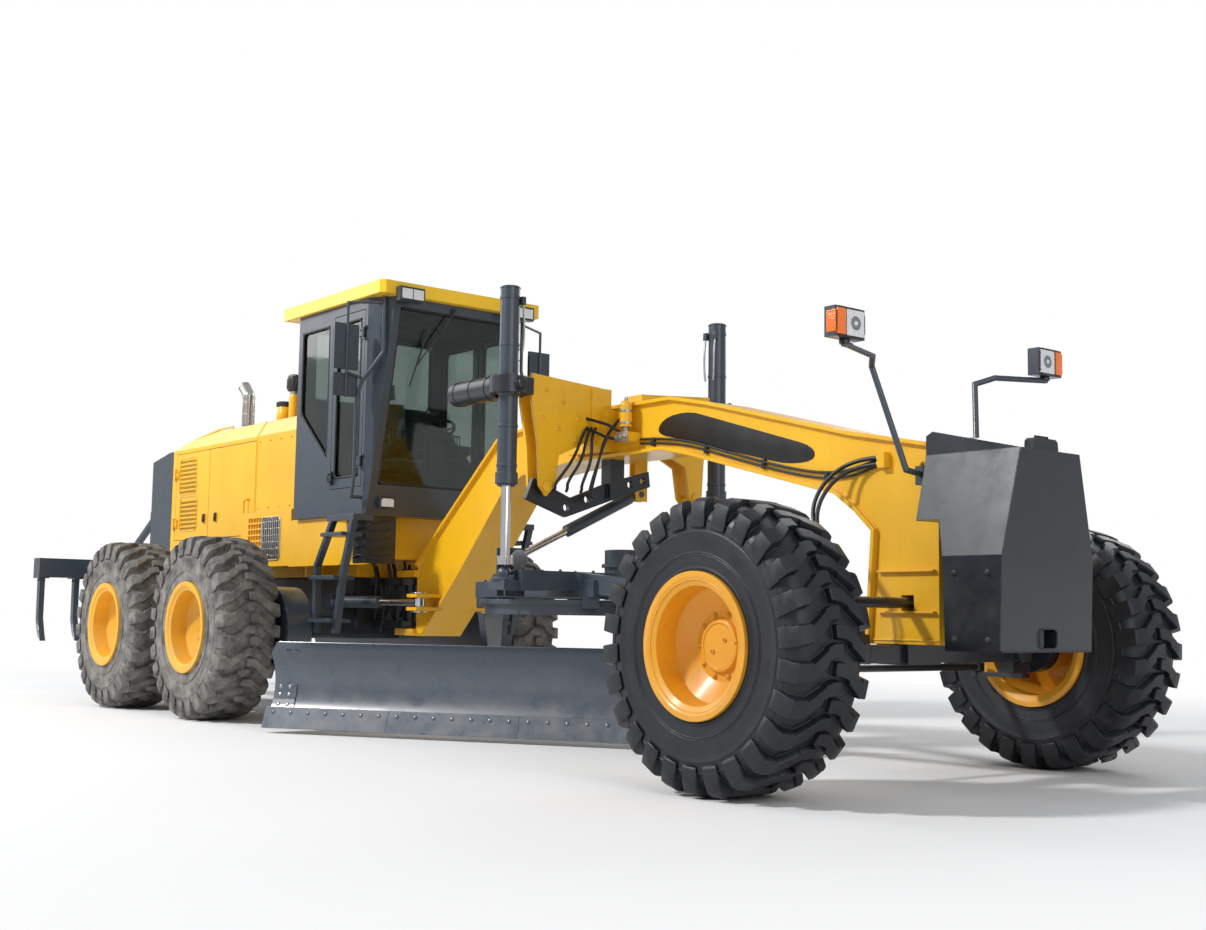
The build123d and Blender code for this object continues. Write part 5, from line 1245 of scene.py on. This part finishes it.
# blade: end bits and their bolts, the edge's joints and the lifting eyes' rims
bladeEnd = {"arc": ((0.0, 0.060), (0.0628, 0.120), (0.0960, 0.165), (0.1208, 0.210), (0.1372, 0.250),
                    (0.1512, 0.300),
                    (0.1585, 0.340), (0.160, 0.370)),
            "wide": (0.004, 0.20), "faces": (0.0005, -0.007), "boltRows": (0.06, 0.14),
            "bolts": ((0.0795, 0.145), (0.1208, 0.215), (0.1475, 0.290), (0.1585, 0.350)),
            "eyes": (0.16, 0.24), "eyeSpot": (0.070, 0.645), "topBead": (0.0275, 0.7005)}
boxFaces = ((0, 1, 3, 2), (4, 5, 7, 6), (0, 1, 5, 4), (2, 3, 7, 6), (0, 2, 6, 4), (1, 3, 7, 5))
bm, bmBolt, bmSeam = bmesh.new(), bmesh.new(), bmesh.new()
for end, way in zip(ends, (1, -1)):
    for a, b in zip(bladeEnd["arc"], bladeEnd["arc"][1:]):
        rise = Vector((b[0] - a[0], b[1] - a[1])).normalized()
        corners = [bm.verts.new(bladeSpot(end + way * along, inX + rise.y * lift, z - rise.x * lift))
                   for inX, z in (a, b) for lift in bladeEnd["faces"] for along in bladeEnd["wide"]]
        for f in boxFaces:
            bm.faces.new([corners[i] for i in f])
    for k, (inX, z) in enumerate(bladeEnd["bolts"]):
        for along in bladeEnd["boltRows"]:
            addLathe(bmBolt, [(0, 0.007), (0.010, 0.007), (0.015, 0.004), (0.017, -0.004), (0, -0.004)],
                     bladeSpot(end + way * along, inX - 0.006, z),
                     bladeOut * (0.80 + 0.05 * k) + Vector((0, 0, 0.5 - 0.16 * k)), 16)
    for along in bladeEnd["eyes"]:
        addBand(bmSeam, [(0.015, 0.003), (0.022, 0.0045), (0.027, 0.002), (0.029, -0.003), (0.014, -0.003)],
                bladeSpot(end + way * along, *bladeEnd["eyeSpot"]), bladeOut, 24)
for k in (1, 2, 3):
    along = ends[0] + blade["length"] * k / 4
    addRope(bmSeam, [bladeSpot(along, -0.021, 0.045), bladeSpot(along, 0.0355, 0.199)], 0.0022, 6)
addRope(bmSeam, [bladeSpot(ends[0] + 0.10, *bladeEnd["topBead"]),
                 bladeSpot(ends[1] - 0.10, *bladeEnd["topBead"])],
        0.005, 8)
piece("bladeEndBits", bm, "blade", "moldboard")
piece("endBitBolts", bmBolt, "wornSteel", "moldboard")
piece("bladeSeams", bmSeam, "blade", "moldboard")
print("blade dressed")

# push block: border welds, bolts on the flanks and the lifting bail
block = {"headX": 6.440, "lean": 0.040, "headZ": 1.880, "footZ": 0.776, "weld": 0.0045,
         "rim": ((0.418, 0.790), (0.418, 1.295), (0.274, 1.870)), "hitch": ((0.795, 0.905), (-0.090, 0.090)),
         "boltX": (6.10, 6.32), "boltZ": (0.84, 1.20), "bailX": 6.38,
         "bail": ((-0.06, 1.945), (-0.055, 1.962), (0.055, 1.962), (0.06, 1.945))}


def onBlock(z, proud=0.0):
    return block["headX"] - block["lean"] * (block["headZ"] - z) / (block["headZ"] - block["footZ"]) + proud


bm, bmBolt = bmesh.new(), bmesh.new()
for side in (-1, 1):
    for (ya, za), (yb, zb) in zip(block["rim"], block["rim"][1:]):
        addRope(bm, [(onBlock(za + (zb - za) * t, -block["weld"]), side * (ya + (yb - ya) * t - 0.001),
                      za + (zb - za) * t) for t in (0.0, 0.25, 0.5, 0.75, 1.0)], block["weld"], 8)
    for x in block["boltX"]:
        for z in block["boltZ"]:
            addBolt(bmBolt, (x, side * 0.418, z), (0, side, 0), 0.014, x * z)
addRope(bm, [(onBlock(0.790), -0.41, 0.781), (onBlock(0.790), 0.41, 0.781)], block["weld"], 8)
addFrame(bm, lambda z, y: (onBlock(z, -0.0005), y, z), *block["hitch"], 0.005)
addRope(bmBolt, [(block["bailX"], y, z) for y, z in block["bail"]], 0.007)
piece("blockWelds", bm, "darkSlateWithShade", "front_frame")
piece("blockBolts", bmBolt, "black", "front_frame")

# ladders: raised cleats on the treads
treads = {"runs": ((-0.060, 0.300, 1.600), (-0.240, 0.190, 1.240), (-0.235, 0.145, 0.880)), "y": 0.812,
          "rows": 3, "rowPitch": 0.068, "cleats": 11}
bm = bmesh.new()
for side in (-1, 1):
    for x0, x1, z in treads["runs"]:
        for k in range(treads["cleats"]):
            x = x0 + (x1 - x0) * (k + 0.7) / (treads["cleats"] + 0.4)
            for row in range(treads["rows"]):
                y = side * (treads["y"] + treads["rowPitch"] * row)
                addBlock(bm, (x - 0.010, y - 0.020, z - 0.001), (x + 0.010, y + 0.020, z + 0.0045), 0.0012)
piece("treadCleats", bm, "slate", "rear_frame")

# tandem cases: cover bolts and plugs
tandem = {"x": -1.965, "face": 1.160, "boltX": (-0.24, -0.08, 0.08, 0.24), "boltZ": (0.950, 0.630),
          "plugZ": 0.79}
bm = bmesh.new()
for side in (-1, 1):
    y = side * tandem["face"]
    for z in tandem["boltZ"]:
        for dx in tandem["boltX"]:
            addBolt(bm, (tandem["x"] + dx, y, z), (0, side, 0), 0.013, dx * 9 + z)
    addLathe(bm, [(0.0, 0.006), (0.022, 0.006), (0.030, 0.003), (0.032, -0.003), (0, -0.003)],
             (tandem["x"], y, tandem["plugZ"]), (0, side, 0), 24)
piece("tandemBolts", bm, "slate", "rear_frame")
print("ladders and tandems dressed")

# articulation: a tangle of hoses between the frames, clipped to the rear frame's front plate
tangle = {
    "spread": ((-0.30, 1.18, -0.03), (-0.24, 1.05, 0.02), (-0.16, 1.22, 0.00), (-0.08, 1.12, -0.02),
               (0.02, 1.20, 0.03), (0.10, 1.07, 0.00), (0.18, 1.16, -0.03), (0.27, 1.10, 0.01)),
    "rearX": -0.36, "radius": 0.014,
    "loops": ((-0.30, -0.42, 0.10), (-0.34, -0.55, 0.06), (-0.38, -0.66, 0.12)), "loopRadius": 0.011}
x = tangle["rearX"]
for k, (y, z, dip) in enumerate(tangle["spread"]):
    pipeCurve(f"frameHose{k + 1}", [
        (x - 0.02, y, z + 0.30), (x + 0.03, y, z + 0.20), (x + 0.075, y * 0.95, z + 0.06),
        (x + 0.070, y * 0.9 + dip, z - 0.10), (x + 0.030, y * 0.85, z - 0.24), (x - 0.02, y * 0.82,
                                                                                z - 0.30)],
        tangle["radius"] * (0.8 + 0.1 * (k % 4)), "hose", "rear_frame")
for k, (y0, y1, sag) in enumerate(tangle["loops"]):      # from the saddle to the lock bar
    pipeCurve(f"saddleHose{k + 1}", [
        (2.80, y0, 2.300), (2.825, y0 - 0.06, 2.250), (2.835, (y0 + y1) / 2, 2.06),
        (2.83, y1 - 0.03, 1.90 - sag * 0.3), (2.80, y1, 1.84), (2.745, y1 + 0.03, 1.83)],
        tangle["loopRadius"], "hose", "front_frame")
print("hose tangles made")

# ripper: worn tips with pins, and keepers on the beam
ripper = {"beamX": -6.340, "pitch": 0.400, "keeper": (0.098, 0.010, 0.008), "keeperZ": 1.286,
          "tip": ((0.150, 0.560), (0.060, 0.622), (-0.002, 0.725), (0.048, 0.752), (0.100, 0.660))}
bm, bmTip = bmesh.new(), bmesh.new()
for k in range(-3, 4):
    x, y = ripper["beamX"], k * ripper["pitch"]
    addPrism(bmTip, [(x + dx, z) for dx, z in ripper["tip"]], y - 0.034, y + 0.034, "y", 0.004)
    for side in (-1, 1):
        addPuck(bmTip, (x + 0.040, y + side * 0.034, 0.705), (0, side, 0), 0.009, 0.006, 14)
        addBolt(bm, (x, y + side * 0.031, 1.255), (0, side, 0), 0.013, k)
        addPlate(bm, (x, y + side * 0.052, ripper["keeperZ"]), ripper["keeper"], 0.003)
piece("ripperTips", bmTip, "wornSteel", "ripper")
piece("ripperBolts", bm, "slate", "ripper")
print("ripper dressed")

# radiator guard: bolts, and red tail lamps on it
guard = {"x": -4.760, "boltY": 0.50, "boltZ": (1.62, 1.95, 2.28, 2.55), "lamp": (0.42, 2.475)}
bm, bmRed, bmRim = bmesh.new(), bmesh.new(), bmesh.new()
for side in (-1, 1):
    for z in guard["boltZ"]:
        addBolt(bm, (guard["x"], side * guard["boltY"], z), toRear, 0.013, z)
    y, z = side * guard["lamp"][0], guard["lamp"][1]
    addPuck(bmRed, (guard["x"] - 0.012, y, z), toRear, 0.040, 0.024, 28, 0.006)
    addBand(bmRim, [(0.040, 0.004), (0.047, 0.020), (0.050, 0.006), (0.050, -0.004), (0.040, -0.004)],
            (guard["x"], y, z), toRear, 28)
piece("guardBolts", bm, "slate", "rear_frame")
piece("tailLenses", bmRed, "red", "rear_frame")
piece("tailRims", bmRim, "black", "rear_frame")
print("guard dressed")

# light, floor and backdrop
studio = {"sky": (0.93, 0.96, 1.0, 1.0), "skyStrength": 0.36, "glossShare": 0.25, "floor": (0.86, 0.86, 0.86),
          "floorSize": 60.0, "fade": (7.5, 12.0)}
white = (1, 1, 1, 1)
world = bpy.data.worlds.new("studioWorld")
bpy.context.scene.world = world
world.use_nodes = True
tree = world.node_tree
tree.nodes.clear()
path = addNode(tree, "LightPath").outputs
direct = combine(tree, "MAXIMUM", path["Is Camera Ray"], combine(
    tree, "MAXIMUM", times(tree, path["Is Glossy Ray"], studio["glossShare"]), path["Is Transmission Ray"]))
plain = addNode(tree, "Background", {"Color": studio["sky"], "Strength": studio["skyStrength"]}).outputs[0]
seen = addNode(tree, "Background", {"Color": white, "Strength": 1.0}).outputs[0]
chooser = addNode(tree, "MixShader", {"Fac": direct, 1: plain, 2: seen})
addNode(tree, "OutputWorld", {"Surface": chooser.outputs[0]})

lamps = {
    # name: place, aim, size, power
    "keyLamp": ((-3.0, -15.0, 13.0), (0.5, 0.0, 1.2), 1.8, 3000.0),
    "fillLamp": ((15.0, -3.0, 6.0), (2.5, 0.0, 1.2), 8.0, 420.0),
    "rearLamp": ((-12.0, -5.0, 9.0), (-1.0, 0.0, 1.5), 8.0, 520.0),
    "farLamp": ((-1.0, 13.0, 9.0), (0.0, 0.0, 1.5), 8.0, 620.0),
}
for name, (place, aim, size, power) in lamps.items():
    data = bpy.data.lights.new(name, "AREA")
    data.size = size
    data.energy = power
    lamp = addObject(name, data)
    lamp.location = place
    lamp.rotation_euler = (Vector(aim) - Vector(place)).to_track_quat("-Z", "Y").to_euler()

bm = bmesh.new()
bmesh.ops.create_grid(bm, x_segments=2, y_segments=2, size=studio["floorSize"])
mesh = bpy.data.meshes.new("studioFloor")
bm.to_mesh(mesh)
bm.free()
floor = addObject("studioFloor", mesh)
mat, tree, shader, place = freshMaterial("studioFloor")
tree.links.new(mixColor(tree, noise(tree, place, 3.0), studio["floor"], shaded(studio["floor"], 0.985)),
               shader.inputs["Base Color"])
shader.inputs["Roughness"].default_value = 0.9
shader.inputs["Specular IOR Level"].default_value = 0.1
# the floor turns to plain white further out, so that no edge shows behind the machine
reach = addNode(tree, "VectorMath", {0: place}, operation="LENGTH").outputs["Value"]
glow = addNode(tree, "Emission", {"Color": white}).outputs[0]
fade = addNode(tree, "MixShader", {"Fac": span(tree, reach, *studio["fade"]), 1: shader.outputs["BSDF"],
                                   2: glow})
last = next(n for n in tree.nodes if n.type == "OUTPUT_MATERIAL")
tree.links.new(fade.outputs["Shader"], last.inputs["Surface"])
mesh.materials.append(mat)
print("light and floor ready")
